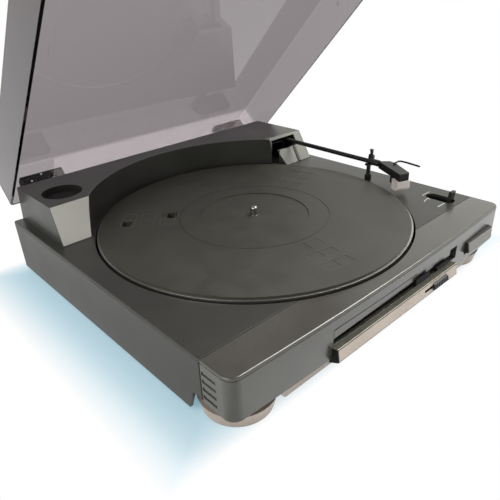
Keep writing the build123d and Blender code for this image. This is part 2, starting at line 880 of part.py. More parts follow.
def button_guide():
    """Bracket behind the front that guides the button's stem and holds its spring."""
    place = (button_stem_x, button_stem_z)
    guide = along_y(button_guide_radius, button_guide_y, *place)
    foot_x = (button_stem_x - button_guide_radius, button_stem_x + button_guide_radius)
    guide += block(foot_x, button_guide_y, (button_stem_z, deck_under))
    pad = (deck_under - tray_wall, deck_under)
    wide = (foot_x[0] - button_guide_foot, foot_x[1] + button_guide_foot)
    guide += block(wide, button_guide_y, pad)
    past = (button_guide_y[0] - overrun, button_guide_y[1] + overrun)
    return guide - along_y(button_stem_radius + running_gap, past, *place)


def spring_between(start, end, x, z, radius, wire, turns):
    """A coil spring whose axis lies along Y."""
    run = end - start - 2 * wire
    path = Helix(pitch=run / turns, height=run, radius=radius)
    profile = Plane(origin=path @ 0, z_dir=path % 0) * Circle(wire)
    coil = sweep(profile, path=path, is_frenet=True)
    return Pos(x, start + wire, z) * Rot(-90, 0, 0) * coil


def start_spring():
    """Coil spring between the button and its guide."""
    radius = button_stem_radius + 2 * button_spring_wire + seat_gap
    start = button_back + seat_gap
    end = button_guide_y[0] - seat_gap
    wire, turns = button_spring_wire, button_spring_turns
    return spring_between(start, end, button_stem_x, button_stem_z, radius, wire, turns)


def bottom_tray():
    """Lower tray with the pale skirt that shows under the front."""
    side = half_width - wall - tray_gap
    back = deck_back - wall - tray_gap
    floor = (shell_bottom, shell_bottom + tray_wall)
    tray = block((-side, side), (tray_step_y, back), (shell_bottom, tray_rim_top))
    hollow = (-side + tray_wall, side - tray_wall)
    tray -= block(hollow, (tray_step_y + tray_wall, back - tray_wall), (floor[1], tray_rim_top + overrun))
    outer = [
        (-skirt_half_top, tray_front_top),
        (-skirt_half_bottom, shell_bottom),
        (skirt_half_bottom, shell_bottom),
        (skirt_half_top, tray_front_top),
    ]
    inner = [
        (tray_wall - skirt_half_top, tray_front_top + overrun),
        (tray_wall - skirt_half_bottom, floor[1]),
        (skirt_half_bottom - tray_wall, floor[1]),
        (skirt_half_top - tray_wall, tray_front_top + overrun),
    ]
    bow = section_y(outer, (tray_front, tray_step_y + tray_wall))
    low_front = bow.edges().filter_by(Axis.X).group_by(Axis.Z)[0].sort_by(Axis.Y)[:1]
    bow = chamfer(low_front, skirt_crease)
    shelf = (foot_shelf_top - tray_wall, foot_shelf_top)
    room = front_foot_radius_top + foot_side_gap
    hollow = section_y(inner, (tray_front + skirt_crease, tray_step_y + 2 * tray_wall))
    for side_sign in (-1, 1):
        at = (side_sign * foot_x, front_foot_y)
        bow -= upright(room, (shell_bottom - overrun, shelf[0]), at)
        hollow -= upright(room + tray_wall, (shell_bottom, tray_front_top + 2 * overrun), at)
    tray += bow
    tray -= hollow
    for side_sign in (-1, 1):
        at = (side_sign * foot_x, front_foot_y)
        reach = sorted((side_sign * (skirt_half_top - tray_wall), side_sign * foot_x))
        tray += upright(foot_shelf_radius, shelf, at)
        tray += block(reach, (front_foot_y - foot_shelf_radius, front_foot_y + foot_shelf_radius), shelf)
        tray -= upright(screw_radius, (shelf[0] - overrun, tray_front_top + overrun), at)
        rear = (side_sign * foot_x, rear_foot_y)
        tray -= upright(screw_radius, (floor[0] - overrun, floor[1] + overrun), rear)
    for place in tray_boss_places:
        tray += upright(tray_boss_radius, (shell_bottom, tray_rim_top), place)
        tray -= upright(screw_radius, (shell_bottom - overrun, tray_rim_top + overrun), place)
        head = (shell_bottom - overrun, shell_bottom + screw_head_height)
        tray -= upright(screw_head_radius + seat_gap, head, place)
    for place in board_posts():
        tray += upright(board_post_radius, (floor[1], board_z), place)
    for x in (transformer_x[0], transformer_x[1] - transformer_foot):
        tray += block((x, x + transformer_foot), core_y, (floor[1], transformer_z[0]))
    return tray


def board_posts():
    """Centres of the posts under the circuit board."""
    inset = board_post_inset
    xs = (board_x[0] + inset, board_x[1] - inset)
    ys = (board_y[0] + inset, board_y[1] - inset)
    return [(x, y) for x in xs for y in ys]


def screw(at, head_z, tip_z):
    """A round-headed screw whose head lies underneath."""
    shank = upright(screw_radius, (head_z + screw_head_height, tip_z), at)
    return shank + upright(screw_head_radius, (head_z, head_z + screw_head_height), at)


def tray_screws():
    """Screws that hold the tray to the deck's bosses."""
    tip = tray_rim_top + tray_screw_length - overrun
    return [screw(place, shell_bottom, tip) for place in tray_boss_places]


def foot(side, front):
    """One foot, without its rubber pad."""
    if front:
        at = (side * foot_x, front_foot_y)
        body = Cone(front_foot_radius_bottom, front_foot_radius_top, front_foot_top - foot_clear)
        body = Pos(*at, (front_foot_top + foot_clear) / 2) * body
        top = foot_shelf_top - tray_wall
        body += upright(foot_neck_radius, (front_foot_top, top), at)
    else:
        at = (side * foot_x, rear_foot_y)
        top = shell_bottom
        body = upright(rear_foot_radius, (foot_clear, top), at)
    body -= upright(pad_radius, (foot_clear - overrun, pad_thick), at)
    head = foot_screw_seat(front)
    body -= upright(screw_radius, (foot_clear - overrun, top + overrun), at)
    return body - upright(pad_hole, (foot_clear - overrun, head), at) if front else body


def foot_screw_seat(front):
    """Height of the face under a foot screw's head."""
    return front_foot_top - foot_screw_length / 2 if front else pad_thick


def foot_pads():
    """Rubber rings under the feet."""
    pads = []
    for side in (-1, 1):
        for y in (front_foot_y, rear_foot_y):
            at = (side * foot_x, y)
            ring = upright(pad_radius, (0, pad_thick), at)
            pads.append(ring - upright(pad_hole, (-overrun, pad_thick + overrun), at))
    return pads


def foot_screws():
    """Screws that hold the feet to the tray."""
    screws = []
    for side in (-1, 1):
        for front, y in ((True, front_foot_y), (False, rear_foot_y)):
            seat = foot_screw_seat(front)
            tip = foot_shelf_top + seat_gap if front else shell_bottom + tray_wall + seat_gap
            head = seat - screw_head_height
            if not front:
                head = pad_thick - screw_head_height / 2
            screws.append(foot_screw((side * foot_x, y), max(head, 0), seat, tip))
    return screws


def foot_screw(at, head, seat, tip):
    """A screw with its head between the two heights given."""
    shank = upright(screw_radius, (seat, tip), at)
    return shank + upright(screw_head_radius, (head, seat), at)


def bridge_solid(inset):
    """The rear bridge and its towers, drawn inset from the outside."""
    low, high = tower_half_low - inset, tower_half_high - inset
    bottom, top = deck_top, bridge_top - inset
    sides = [(-low, bottom), (low, bottom), (high, top), (-high, top)]
    rise = bridge_top - deck_top
    lean = (tower_front_high - tower_front_low) / rise
    step = inset * sqrt(1 + lean * lean)
    back = deck_back - inset
    body = section_y(sides, (tower_front_low, back))
    if inset == 0:
        body = fillet(body.edges().group_by(Axis.Y)[-1].filter_by(Axis.X, reverse=True), bridge_edge_round)
    front = [
        (tower_front_low + step, bottom),
        (tower_front_low + step + (top + overrun - bottom) * lean, top + overrun),
        (tower_front_low - overrun, top + overrun),
        (tower_front_low - overrun, bottom - overrun),
        (tower_front_low + step - overrun * lean, bottom - overrun),
    ]
    body -= section_x(front, (-half_width, half_width))
    return body - upright(bridge_arc + inset, (bottom - overrun, top + overrun), platter_axis)


def rear_bridge():
    """Raised bridge behind the platter, hollow, with the arm's tower on the right."""
    bridge = bridge_solid(0)
    hollow = bridge_solid(bridge_wall)
    cup_z = (bridge_top - adaptor_depth - bridge_wall, bridge_top)
    cup = upright(adaptor_radius + bridge_wall, cup_z, recess_centre)
    bridge -= hollow
    bridge += cup & bridge_solid(0)
    bridge -= upright(adaptor_radius, (bridge_top - adaptor_depth, bridge_top + overrun), recess_centre)
    opening = (tower_front_low - overrun, tower_front_high + bridge_wall)
    bridge -= block(arm_gap_x, opening, arm_gap_z)
    bridge -= arc_slot()
    rise = bridge_top - deck_top
    tilt = degrees(atan2(tower_front_high - tower_front_low, rise))
    place = Pos(tower_groove_x, tower_front_low - tower_groove_radius + tower_groove_depth, deck_top)
    groove = place * Rot(-tilt, 0, 0) * Cylinder(tower_groove_radius, 2 * rise)
    bridge -= groove & block((0, half_width), (0, deck_back), (deck_top - overrun, arm_gap_z[0]))
    for place in bridge_boss_places:
        post = upright(bridge_boss_radius, (deck_top, bridge_top - bridge_wall), place)
        bridge += post
        bridge -= upright(screw_radius, (deck_top - overrun, deck_top + tray_screw_length), place)
    return bridge


def arc_slot():
    """Tall slot through the arc wall beside the arm's opening."""
    low, high = (radians(angle) for angle in arm_slot_angles)
    near, far = bridge_arc - overrun, bridge_arc + bridge_wall + overrun
    points = [
        (platter_x + near * cos(low), platter_y + near * sin(low)),
        (platter_x + far * cos(low), platter_y + far * sin(low)),
        (platter_x + far * cos(high), platter_y + far * sin(high)),
        (platter_x + near * cos(high), platter_y + near * sin(high)),
    ]
    return plan_z(points, (deck_top + bridge_wall, arm_gap_z[0] + overrun))


def bridge_screws():
    """Screws that hold the bridge down from under the deck."""
    screws = []
    for place in bridge_boss_places:
        head = deck_under - screw_head_height
        screws.append(screw(place, head, deck_top + tray_screw_length - overrun))
    return screws


def window_place(angle):
    """Frame of one group of mat windows: X outwards, Y across the rows."""
    return Pos(platter_x, platter_y, 0) * Rot(0, 0, angle)


def sight_holes(z):
    """Holes that pass through the mat and the platter in the first group of windows."""
    holes = None
    for start, end, row in sight_cell_shares:
        middle = row * window_half / 2
        across = (middle - sight_half, middle + sight_half)
        hole = block((start * mat_radius, end * mat_radius), across, z)
        holes = hole if holes is None else holes + hole
    return window_place(window_angles[0]) * holes


def platter():
    """Platter with its raised lip, skirt, drive ring and hub."""
    disc = upright(platter_radius, (plate_top - platter_plate, plate_top), platter_axis)
    lip = (platter_skirt_bottom, platter_lip_top)
    ring = upright(platter_radius, lip, platter_axis)
    bore = (lip[0] - overrun, lip[1] + overrun)
    under = upright(platter_radius - platter_skirt_wall, (bore[0], plate_top - platter_plate), platter_axis)
    above = upright(mat_radius, (plate_top, bore[1]), platter_axis)
    body = disc + (ring - under - above)
    drive = (drive_ring_bottom, plate_top - platter_plate)
    drive_ring = upright(drive_ring_radius, drive, platter_axis)
    inner = drive_ring_radius - drive_ring_wall
    drive_ring -= upright(inner, (drive[0] - overrun, drive[1] + overrun), platter_axis)
    body += drive_ring
    body += upright(hub_radius, (hub_bottom, plate_top - platter_plate), platter_axis)
    body -= upright(spindle_shaft_radius, (hub_bottom - overrun, plate_top + overrun), platter_axis)
    return body - sight_holes((plate_top - platter_plate - overrun, plate_top + overrun))


def mat_window(z):
    """Raised-rib pattern of one group, as the shallow cells between the ribs."""
    cells = None
    for start, end in window_cell_shares:
        along = (start * mat_radius + window_rib, end * mat_radius - window_rib)
        for row in (-1, 1):
            across = sorted((row * window_rib / 2, row * (window_half - window_rib)))
            cell = block(along, across, z)
            cells = cell if cells is None else cells + cell
    return cells


def platter_mat():
    """Rubber mat with its label hollow, ring line and window cells."""
    mat = upright(mat_radius, (plate_top, mat_top), platter_axis)
    mat -= upright(label_radius, (mat_top - label_depth, mat_top + overrun), platter_axis)
    groove = mat_top - mat_ring_depth
    line = upright(mat_ring_radius + mat_ring_width, (groove, mat_top + overrun), platter_axis)
    line -= upright(mat_ring_radius, (groove - overrun, mat_top + 2 * overrun), platter_axis)
    mat -= line
    for angle in window_angles:
        mat -= window_place(angle) * mat_window((mat_top - window_depth, mat_top + overrun))
    mat -= sight_holes((plate_top - overrun, mat_top + overrun))
    through = (plate_top - overrun, mat_top + overrun)
    return mat - upright(spindle_shaft_radius + seat_gap, through, platter_axis)


def spindle():
    """Chromed spindle with a domed tip and a plain lower end."""
    seat = mat_top - label_depth
    pin = upright(spindle_radius, (seat, spindle_top), platter_axis)
    tip = pin.edges().filter_by(GeomType.CIRCLE).group_by(Axis.Z)[-1]
    pin = fillet(tip, spindle_radius * tip_round_share)
    return pin + upright(spindle_shaft_radius, (spindle_bottom, seat), platter_axis)


def spindle_bearing():
    """Flanged bush in the well floor, with a blind lower end."""
    bush = upright(bearing_radius, (bearing_bottom, well_floor_top), platter_axis)
    flange = (well_floor_under - bearing_flange, well_floor_under)
    bush += upright(bearing_flange_radius, flange, platter_axis)
    bore = spindle_shaft_radius + running_gap
    return bush - upright(bore, (bore_bottom, well_floor_top + overrun), platter_axis)


def thrust_pad():
    """Low-friction disc under the spindle."""
    return upright(spindle_shaft_radius, (bore_bottom, spindle_bottom), platter_axis)


def involute(angle):
    """Involute function of a pressure angle."""
    return tan(angle) - angle


def gear_outline(teeth):
    """Outline of a gear, with involute flanks, centred on a tooth."""
    pitch = gear_module * teeth / 2
    base = pitch * cos(radians(pressure_angle))
    tip = pitch + gear_module * addendum_share
    root = pitch - gear_module * dedendum_share
    half = (pi * gear_module / 2 - tooth_slack) / (2 * pitch)
    half_base = half + involute(radians(pressure_angle))
    flank = []
    for step in range(flank_steps + 1):
        radius = max(root, base) + (tip - max(root, base)) * step / flank_steps
        turn = half_base - involute(acos(min(1, base / radius)))
        flank.append((radius, turn))
    if base > root:
        flank.insert(0, (root, half_base))
    points = []
    for tooth in range(teeth):
        centre = 2 * pi * tooth / teeth
        points += [(radius * cos(centre - turn), radius * sin(centre - turn)) for radius, turn in flank]
        for radius, turn in reversed(flank):
            points.append((radius * cos(centre + turn), radius * sin(centre + turn)))
    return points


def hub_pinion():
    """Small gear under the platter's hub."""
    points = gear_outline(pinion_teeth)
    gear = plan_z(points, (pinion_bottom, hub_bottom))
    gear = Pos(platter_x, platter_y, 0) * Rot(0, 0, cam_angle) * gear
    return gear - upright(spindle_shaft_radius, (pinion_bottom - overrun, hub_bottom + overrun), platter_axis)


def cam_gear():
    """Large gear that drives the arm, with an off-centre track on its web."""
    low, high = cam_z
    gear = plan_z(gear_outline(cam_teeth), cam_z)
    pocket = (low + cam_web, high + overrun)
    rim = cam_pitch - cam_rim
    hollow = upright(rim, pocket, (0, 0)) - upright(cam_hub_radius, (low, high + 2 * overrun), (0, 0))
    track_at = (cam_track_offset, 0)
    outer = cam_track_radius + cam_track_width / 2 + cam_track_wall
    inner = cam_track_radius - cam_track_width / 2 - cam_track_wall
    track = upright(outer, (low, high), track_at) - upright(inner, (low, high), track_at)
    groove = upright(outer - cam_track_wall, pocket, track_at)
    groove -= upright(inner + cam_track_wall, pocket, track_at)
    gear -= hollow - track
    gear -= groove
    gear -= upright(cam_post_radius + running_gap, (low - overrun, high + overrun), (0, 0))
    half_tooth = 180 / cam_teeth
    return Pos(*cam_axis, 0) * Rot(0, 0, 180 + cam_angle + half_tooth) * gear


def cam_post():
    """Fixed post that carries the cam gear."""
    post = upright(cam_post_radius, (well_floor_under, cam_post_top), cam_axis)
    post += upright(cam_post_flange, (well_floor_top, cam_z[0]), cam_axis)
    groove = (cam_z[1], cam_z[1] + clip_thick)
    cut = upright(cam_post_radius + overrun, groove, cam_axis)
    cut -= upright(cam_post_radius - clip_groove, groove, cam_axis)
    return post - cut


def cam_clip():
    """Open retaining ring in the post's groove."""
    z = (cam_z[1], cam_z[1] + clip_thick)
    ring = upright(clip_radius, z, cam_axis) - upright(cam_post_radius - clip_groove, z, cam_axis)
    mouth = cam_post_radius - clip_groove
    reach = (cam_axis[0], cam_axis[0] + clip_radius + overrun)
    gap = block(reach, (cam_axis[1] - mouth, cam_axis[1] + mouth), z)
    return ring - gap


def motor():
    """Motor can with the nose round its shaft."""
    can = upright(motor_radius, motor_z, motor_axis)
    low_edge = can.edges().filter_by(GeomType.CIRCLE).group_by(Axis.Z)[0]
    can = fillet(low_edge, motor_nose_height)
    nose_top = motor_z[1] + motor_plate + motor_nose_height
    can += upright(motor_nose_radius, (motor_z[1], nose_top), motor_axis)
    bore = (motor_z[0] + motor_plate, nose_top + overrun)
    return can - upright(motor_shaft_radius + running_gap, bore, motor_axis)


def motor_bracket():
    """Plate that carries the motor between its rubber mounts."""
    x, y = motor_axis
    half_x, half_y = motor_plate_half
    z = (motor_z[1], motor_z[1] + motor_plate)
    cut = (z[0] - overrun, z[1] + overrun)
    plate = block((x - half_x, x + half_x), (y - half_y, y + half_y), z)
    plate -= upright(motor_nose_radius, cut, motor_axis)
    for place in motor_places:
        plate -= upright(screw_radius, cut, place)
    return plate


def motor_grommets():
    """Rubber mounts between the motor plate and the well floor."""
    z = (motor_z[1] + motor_plate, well_floor_under)
    cut = (z[0] - overrun, z[1] + overrun)
    return [upright(grommet_radius, z, place) - upright(screw_radius, cut, place) for place in motor_places]


def motor_screws():
    """Screws that hang the motor from the well floor."""
    return [screw(place, motor_z[1] - screw_head_height, motor_screw_tip) for place in motor_places]


def motor_pulley():
    """Flanged pulley on the motor's thin shaft."""
    body = upright(pulley_radius, pulley_z, motor_axis)
    wide = pulley_radius + pulley_flange
    body += upright(wide, (pulley_z[0], pulley_z[0] + pulley_flange_thick), motor_axis)
    body += upright(wide, (pulley_z[1] - pulley_flange_thick, pulley_z[1]), motor_axis)
    return body + upright(motor_shaft_radius, (motor_z[0] + 2 * motor_plate, motor_shaft_top), motor_axis)


def belt_loop(extra):
    """Filled outline of the belt, grown by the extra from the pulley faces."""
    large, small = drive_ring_radius + extra, pulley_radius + extra
    spread = acos((large - small) / motor_distance)
    points = []
    for radius, reach in ((large, 0), (small, motor_distance)):
        for sign in ((1, -1) if reach == 0 else (-1, 1)):
            points.append((reach + radius * cos(spread), sign * radius * sin(spread)))
    body = plan_z(points, belt_z)
    body += upright(large, belt_z, (0, 0)) + upright(small, belt_z, (motor_distance, 0))
    return Pos(platter_x, platter_y, 0) * Rot(0, 0, motor_angle) * body


def drive_belt():
    """Flat belt round the drive ring and the pulley."""
    return belt_loop(seat_gap + belt_thick) - belt_loop(seat_gap)


def swivel(shape):
    """Turn a piece drawn straight ahead of the arm's pivot to the arm's rest direction."""
    return Pos(arm_x, arm_y, 0) * Rot(0, 0, arm_rest_angle) * shape


def tilted(shape):
    """Place a piece drawn round the arm's pivot, straight ahead and level."""
    frame = Pos(arm_x, arm_y, arm_pivot_z) * Rot(0, 0, arm_rest_angle) * Rot(degrees(arm_pitch), 0, 0)
    return frame * shape


def head_placed(shape):
    """Place a piece drawn round the bend of the arm, straight ahead and level."""
    return Pos(*bend_point) * Rot(0, 0, -head_angle) * shape


def arm_base():
    """Bearing column of the arm with the guide of its lifter."""
    flange = (deck_top, deck_top + arm_base_flange)
    body = upright(arm_base_column, (arm_base_foot, arm_base_top), arm_axis)
    body += upright(arm_base_radius, flange, arm_axis)
    body += upright(lifter_guide_radius, (deck_under, lifter_guide_top), lifter_place)
    web = (lifter_place[0] - lifter_guide_radius, arm_x + arm_base_column)
    body += block(web, (lifter_place[1], arm_y), flange)
    bore = (deck_under - overrun, lifter_guide_top + overrun)
    body -= upright(lifter_rod_radius + running_gap, bore, lifter_place)
    bore = (arm_base_foot - overrun, arm_base_top + overrun)
    return body - upright(arm_shaft_radius + running_gap, bore, arm_axis)


def arm_yoke():
    """Upright shaft of the arm with its forked head."""
    base = (arm_base_top + seat_gap, arm_base_top + seat_gap + yoke_plate)
    body = upright(yoke_radius, base, (0, 0)) + upright(arm_shaft_radius, (arm_shaft_bottom, base[1]), (0, 0))
    for side in (-1, 1):
        across = sorted((side * yoke_half, side * (yoke_half - yoke_cheek)))
        body += block(across, (-yoke_length / 2, yoke_length / 2), (base[0], yoke_top))
    body -= along_x(pivot_pin_radius, (-yoke_half - overrun, yoke_half + overrun), 0, arm_pivot_z)
    return swivel(body)


def arm_pivot_pins():
    """Two pins on which the arm tips."""
    pins = []
    for side in (-1, 1):
        across = sorted((side * yoke_half, side * pivot_block_half[0] / 2))
        pins.append(swivel(along_x(pivot_pin_radius, across, 0, arm_pivot_z)))
    return pins


def arm_drive_plate():
    """Plate under the deck through which the mechanism turns the arm."""
    z = (drive_plate_z, drive_plate_z + drive_plate_thick)
    plate = upright(2 * arm_shaft_radius, z, (0, 0))
    plate += block((-drive_plate_length, 0), (-drive_plate_half, drive_plate_half), z)
    return swivel(plate - upright(arm_shaft_radius, (z[0] - overrun, z[1] + overrun), (0, 0)))


def arm_pivot_block():
    """Block that tips on the pins, with the plug in the tube and the rod behind."""
    half_x, half_y, half_z = pivot_block_half
    body = block((-half_x, half_x), (-half_y, half_y), (-half_z, half_z))
    body += along_y(arm_tube_radius - arm_tube_wall, (-half_y - pivot_plug, -half_y / 2), 0, 0)
    body += along_y(tail_radius, (half_y / 2, tail_length), 0, 0)
    return tilted(body - along_x(pivot_pin_radius + running_gap, (-half_x - overrun, half_x + overrun), 0, 0))


def arm_tube():
    """Thin-walled arm tube."""
    ends = (head_wall - arm_run, -pivot_block_half[1])
    body = along_y(arm_tube_radius, ends, 0, 0)
    bore = (ends[0] - overrun, ends[1] + overrun)
    return tilted(body - along_y(arm_tube_radius - arm_tube_wall, bore, 0, 0))


def counterweight():
    """Off-centre weight on the rod behind the pivot."""
    ends = (counterweight_gap, counterweight_gap + counterweight_length)
    body = along_y(counterweight_radius, ends, 0, -counterweight_drop)
    return tilted(body - along_y(tail_radius, (ends[0] - overrun, ends[1] + overrun), 0, 0))


def head_plan(inset, z):
    """Outline of the head seen from above, drawn inset from its edge."""
    face = make_face(Polyline(*[(x, -y, 0) for x, y in head_outline], close=True))
    if inset:
        face = offset(face, -inset, kind=Kind.INTERSECTION)
    return Pos(0, 0, z[0] - bend_point[2]) * extrude(face, amount=z[1] - z[0], dir=(0, 0, 1))


def head_collar(radius, ends):
    """A cylinder on the arm's line, measured back from the bend."""
    return tilted(along_y(radius, (ends[0] - arm_run, ends[1] - arm_run), 0, 0))


def headshell():
    """Hollow shell of the head with the collar that holds the tube."""
    top = head_top - head_top_thick
    shell = head_plan(0, (head_bottom, top)) - head_plan(head_wall, (head_bottom - overrun, top - head_wall))
    body = head_placed(shell) + head_collar(neck_radius, (-neck_length, head_wall))
    body += head_collar(collar_radius, (0, collar_length))
    return body - head_collar(arm_tube_radius, (head_wall, collar_length + overrun))


def headshell_plate():
    """Cover plate on top of the head."""
    plate = head_placed(head_plan(0, (head_top - head_top_thick, head_top)))
    return plate - head_collar(collar_radius, (0, collar_length))


def head_block(half, y, z):
    """A block centred on the cartridge's line, ahead of the arm's bend."""
    x = (cartridge_x - half, cartridge_x + half)
    return block(x, (-y[1], -y[0]), (z[0] - bend_point[2], z[1] - bend_point[2]))


def cartridge():
    """Cartridge body, narrower where it enters the head."""
    top = head_top - head_top_thick - head_wall
    low_top = head_bottom - seat_gap
    body = head_block(cartridge_half, cartridge_y, (cartridge_bottom, low_top))
    upper_y = (cartridge_y[0], cartridge_top_front)
    return head_placed(body + head_block(cartridge_half_top, upper_y, (low_top, top)))


def stylus():
    """Stylus block with its cantilever and tip."""
    body = head_block(stylus_half, stylus_y, (stylus_bottom, cartridge_bottom))
    z = stylus_bottom + cantilever_radius - bend_point[2]
    body += along_y(cantilever_radius, (-cantilever_end, -stylus_y[1] + overrun), cartridge_x, z)
    drop = z - (stylus_tip - bend_point[2])
    tip = Pos(cartridge_x, cantilever_radius - cantilever_end, z - drop / 2) * Rot(180, 0, 0)
    return head_placed(body + tip * Cone(stylus_tip_radius, stylus_tip_radius / 2, drop))


def stylus_guard():
    """Clear cover that slips over the front of the cartridge."""
    inner = cartridge_half + seat_gap
    front = cartridge_y[1] + seat_gap
    top = head_bottom - seat_gap
    body = head_block(inner + guard_wall, (guard_back, front + guard_wall), (guard_bottom, top))
    low_front = body.edges().filter_by(Axis.X).group_by(Axis.Z)[0].sort_by(Axis.Y)[:1]
    body = fillet(low_front, guard_round)
    room = head_block(inner, (guard_back - overrun, front), (guard_bottom + guard_wall, top + overrun))
    inner_edge = room.edges().filter_by(Axis.X).group_by(Axis.Z)[0].sort_by(Axis.Y)[:1]
    return head_placed(body - fillet(inner_edge, guard_round - guard_wall))


def finger_lift():
    """Bent wire at the side of the head, with the pad that holds it."""
    z = head_top + lift_radius - bend_point[2]
    path = FilletPolyline(*[(x, -y, z) for x, y in lift_points], radius=lift_bend)
    wire = sweep(Plane(origin=path @ 0, z_dir=path % 0) * Circle(lift_radius), path=path)
    x, y = lift_points[0]
    half_x, half_y = lift_pad
    pad_z = (z - lift_radius, z - lift_radius + lift_pad_thick)
    pad = block((x, x + half_x), (-y - half_y / 2, half_y / 2 - y), pad_z)
    x, y = lift_points[-1]
    return head_placed(wire + pad + Pos(x, -y, z) * Sphere(lift_radius))


def rest_placed(shape):
    """Place a piece drawn round the arm rest's foot."""
    return Pos(*rest_place, 0) * Rot(0, 0, arm_rest_angle) * shape


def arm_rest():
    """Post under the arm with its saddle and the lugs of its clip."""
    saddle_top = rest_tube_z - arm_tube_radius - seat_gap
    saddle = (saddle_top - rest_saddle_thick, saddle_top)
    body = upright(rest_base_radius, (deck_top, rest_base_top), (0, 0))
    body += upright(rest_post_radius, (deck_under, saddle[1]), (0, 0))
    half_x, half_y = rest_saddle_half
    body += block((-half_x, rest_wall_x[1]), (-half_y, half_y), saddle)
    body += block(rest_wall_x, (-half_y, half_y), (saddle[0], rest_wall_top))
    x, z = clip_pivot
    inner = clip_half + slide_gap
    for side in (-1, 1):
        y = sorted((side * inner, side * (inner + clip_lug)))
        body += along_y(clip_knuckle, y, x, z)
        body += block((max(x - clip_knuckle, rest_wall_x[0]), x + clip_knuckle), y, (rest_wall_top, z))
    body += along_y(clip_pin_radius, (-inner - clip_lug, inner + clip_lug), x, z)
    return rest_placed(body)


def arm_clip():
    """Clip that folds over the arm, drawn standing open."""
    x, z = clip_pivot
    body = along_y(clip_knuckle, (-clip_half, clip_half), x, z)
    half = clip_bar / 2
    top = z + clip_bar_length
    body += block((x - half, x + half), (-clip_half, clip_half), (z, top))
    thick, reach = clip_tip
    body += block((x - half - reach, x), (-clip_half, clip_half), (top - thick, top))
    past = (-clip_half - overrun, clip_half + overrun)
    return rest_placed(body - along_y(clip_pin_radius + running_gap, past, x, z))


def arm_lifter():
    """Curved plate under the arm with its upright rod."""
    inner, outer = lifter_radii
    turns = [
        radians(lifter_angles[0] + (lifter_angles[1] - lifter_angles[0]) * i / 2)
        for i in range(3)
    ]
    z = lifter_top - lifter_thick
    far = [(arm_x + outer * cos(turn), arm_y + outer * sin(turn), z) for turn in turns]
    near = [(arm_x + inner * cos(turn), arm_y + inner * sin(turn), z) for turn in turns]
    edge = [
        ThreePointArc(*far),
        Line(far[2], near[2]),
        ThreePointArc(near[2], near[1], near[0]),
        Line(near[0], far[0]),
    ]
    plate = extrude(make_face(edge), amount=lifter_thick, dir=(0, 0, 1))
    return plate + upright(lifter_rod_radius, (lifter_rod_bottom, z + lifter_thick / 2), lifter_place)


def cue_middle():
    """Centre line of the cue slot."""
    return (cue_x[0] + cue_x[1]) / 2


def cue_guide():
    """Trough under the cue slot, with a slit for the lever's neck."""
    margin = cue_trough_margin
    z = (cue_trough_bottom, deck_under)
    body = block((cue_x[0] - margin, cue_x[1] + margin), (cue_y[0] - margin, cue_y[1] + margin), z)
    body -= stadium(cue_x, cue_y, (cue_trough_bottom + cue_trough_wall, deck_under + overrun))
    middle = cue_middle()
    travel = (cue_paddle_y[0] - seat_gap, cue_paddle_y[1] + cue_travel + seat_gap)
    slit = (cue_trough_bottom - overrun, cue_trough_bottom + cue_trough_wall + overrun)
    return body - block((middle - cue_slit_half, middle + cue_slit_half), travel, slit)


def cue_lever():
    """Cue lever: its paddle and the neck that sits in the slide."""
    middle = cue_middle()
    front, back = cue_paddle_y
    low, high = cue_paddle_z
    paddle = section_x(
        [(front, low), (back, low), (back - cue_lean, high), (front - cue_lean, high)],
        (middle - cue_paddle_half, middle + cue_paddle_half),
    )
    top_edges = paddle.edges().group_by(Axis.Z)[-1]
    paddle = fillet(top_edges, cue_trough_wall / 2)
    neck = (middle - cue_neck_half, middle + cue_neck_half)
    body = paddle + block(neck, cue_paddle_y, (cue_slide_z[0], low + overrun))
    return body


def cue_slide():
    """Slide under the lever, with the rod and the wedge that raise the lifter."""
    middle = cue_middle()
    neck = (middle - cue_neck_half, middle + cue_neck_half)
    body = block((middle - cue_slide_half, cue_rod_x), cue_slide_y, cue_slide_z)
    body -= block(neck, cue_paddle_y, (cue_slide_z[0] - overrun, cue_slide_z[1] + overrun))
    body += along_y(cue_rod_radius, (cue_slide_y[0], cue_rod_end), cue_rod_x, cue_rod_z)
    ends = (lifter_place[1] - cue_travel - cue_wedge_past, lifter_place[1] + cue_wedge_past)
    flat = lifter_rod_bottom - seat_gap
    rise = lifter_rise * (lifter_place[1] - ends[0]) / cue_travel
    drop = lifter_rise * (ends[1] - lifter_place[1]) / cue_travel
    wedge = [
        (ends[0], cue_wedge_bottom),
        (ends[0], flat + rise),
        (ends[1], flat - drop),
        (ends[1], cue_wedge_bottom),
    ]
    return body + section_x(wedge, cue_wedge_x)


def opened(shape):
    """Turn a piece of the closed lid to its open rest position."""
    return Pos(0, hinge_y, hinge_z) * Rot(-lid_open, 0, 0) * Pos(0, -hinge_y, -hinge_z) * shape


def lid_block(inset, z):
    """Rounded block of the lid's outline, drawn inset from its outside."""
    body = block((inset - lid_half, lid_half - inset), (lid_front + inset, lid_back - inset), z)
    uprights = body.edges().filter_by(Axis.Z)
    body = fillet(uprights.group_by(Axis.Y)[0], lid_corner - inset)
    return fillet(body.edges().filter_by(Axis.Z).group_by(Axis.Y)[-1], lid_back_corner - inset)


def dust_cover():
    """Clear lid, open at its underside."""
    rim = deck_top + seat_gap
    lid = lid_block(0, (rim, rim + lid_height))
    lid = fillet(lid.edges().group_by(Axis.Z)[-1], lid_edge_round)
    room = lid_block(lid_wall, (rim - overrun, rim + lid_height - lid_wall))
    room = fillet(room.edges().group_by(Axis.Z)[-1], lid_edge_round - lid_wall)
    return opened(lid - room)


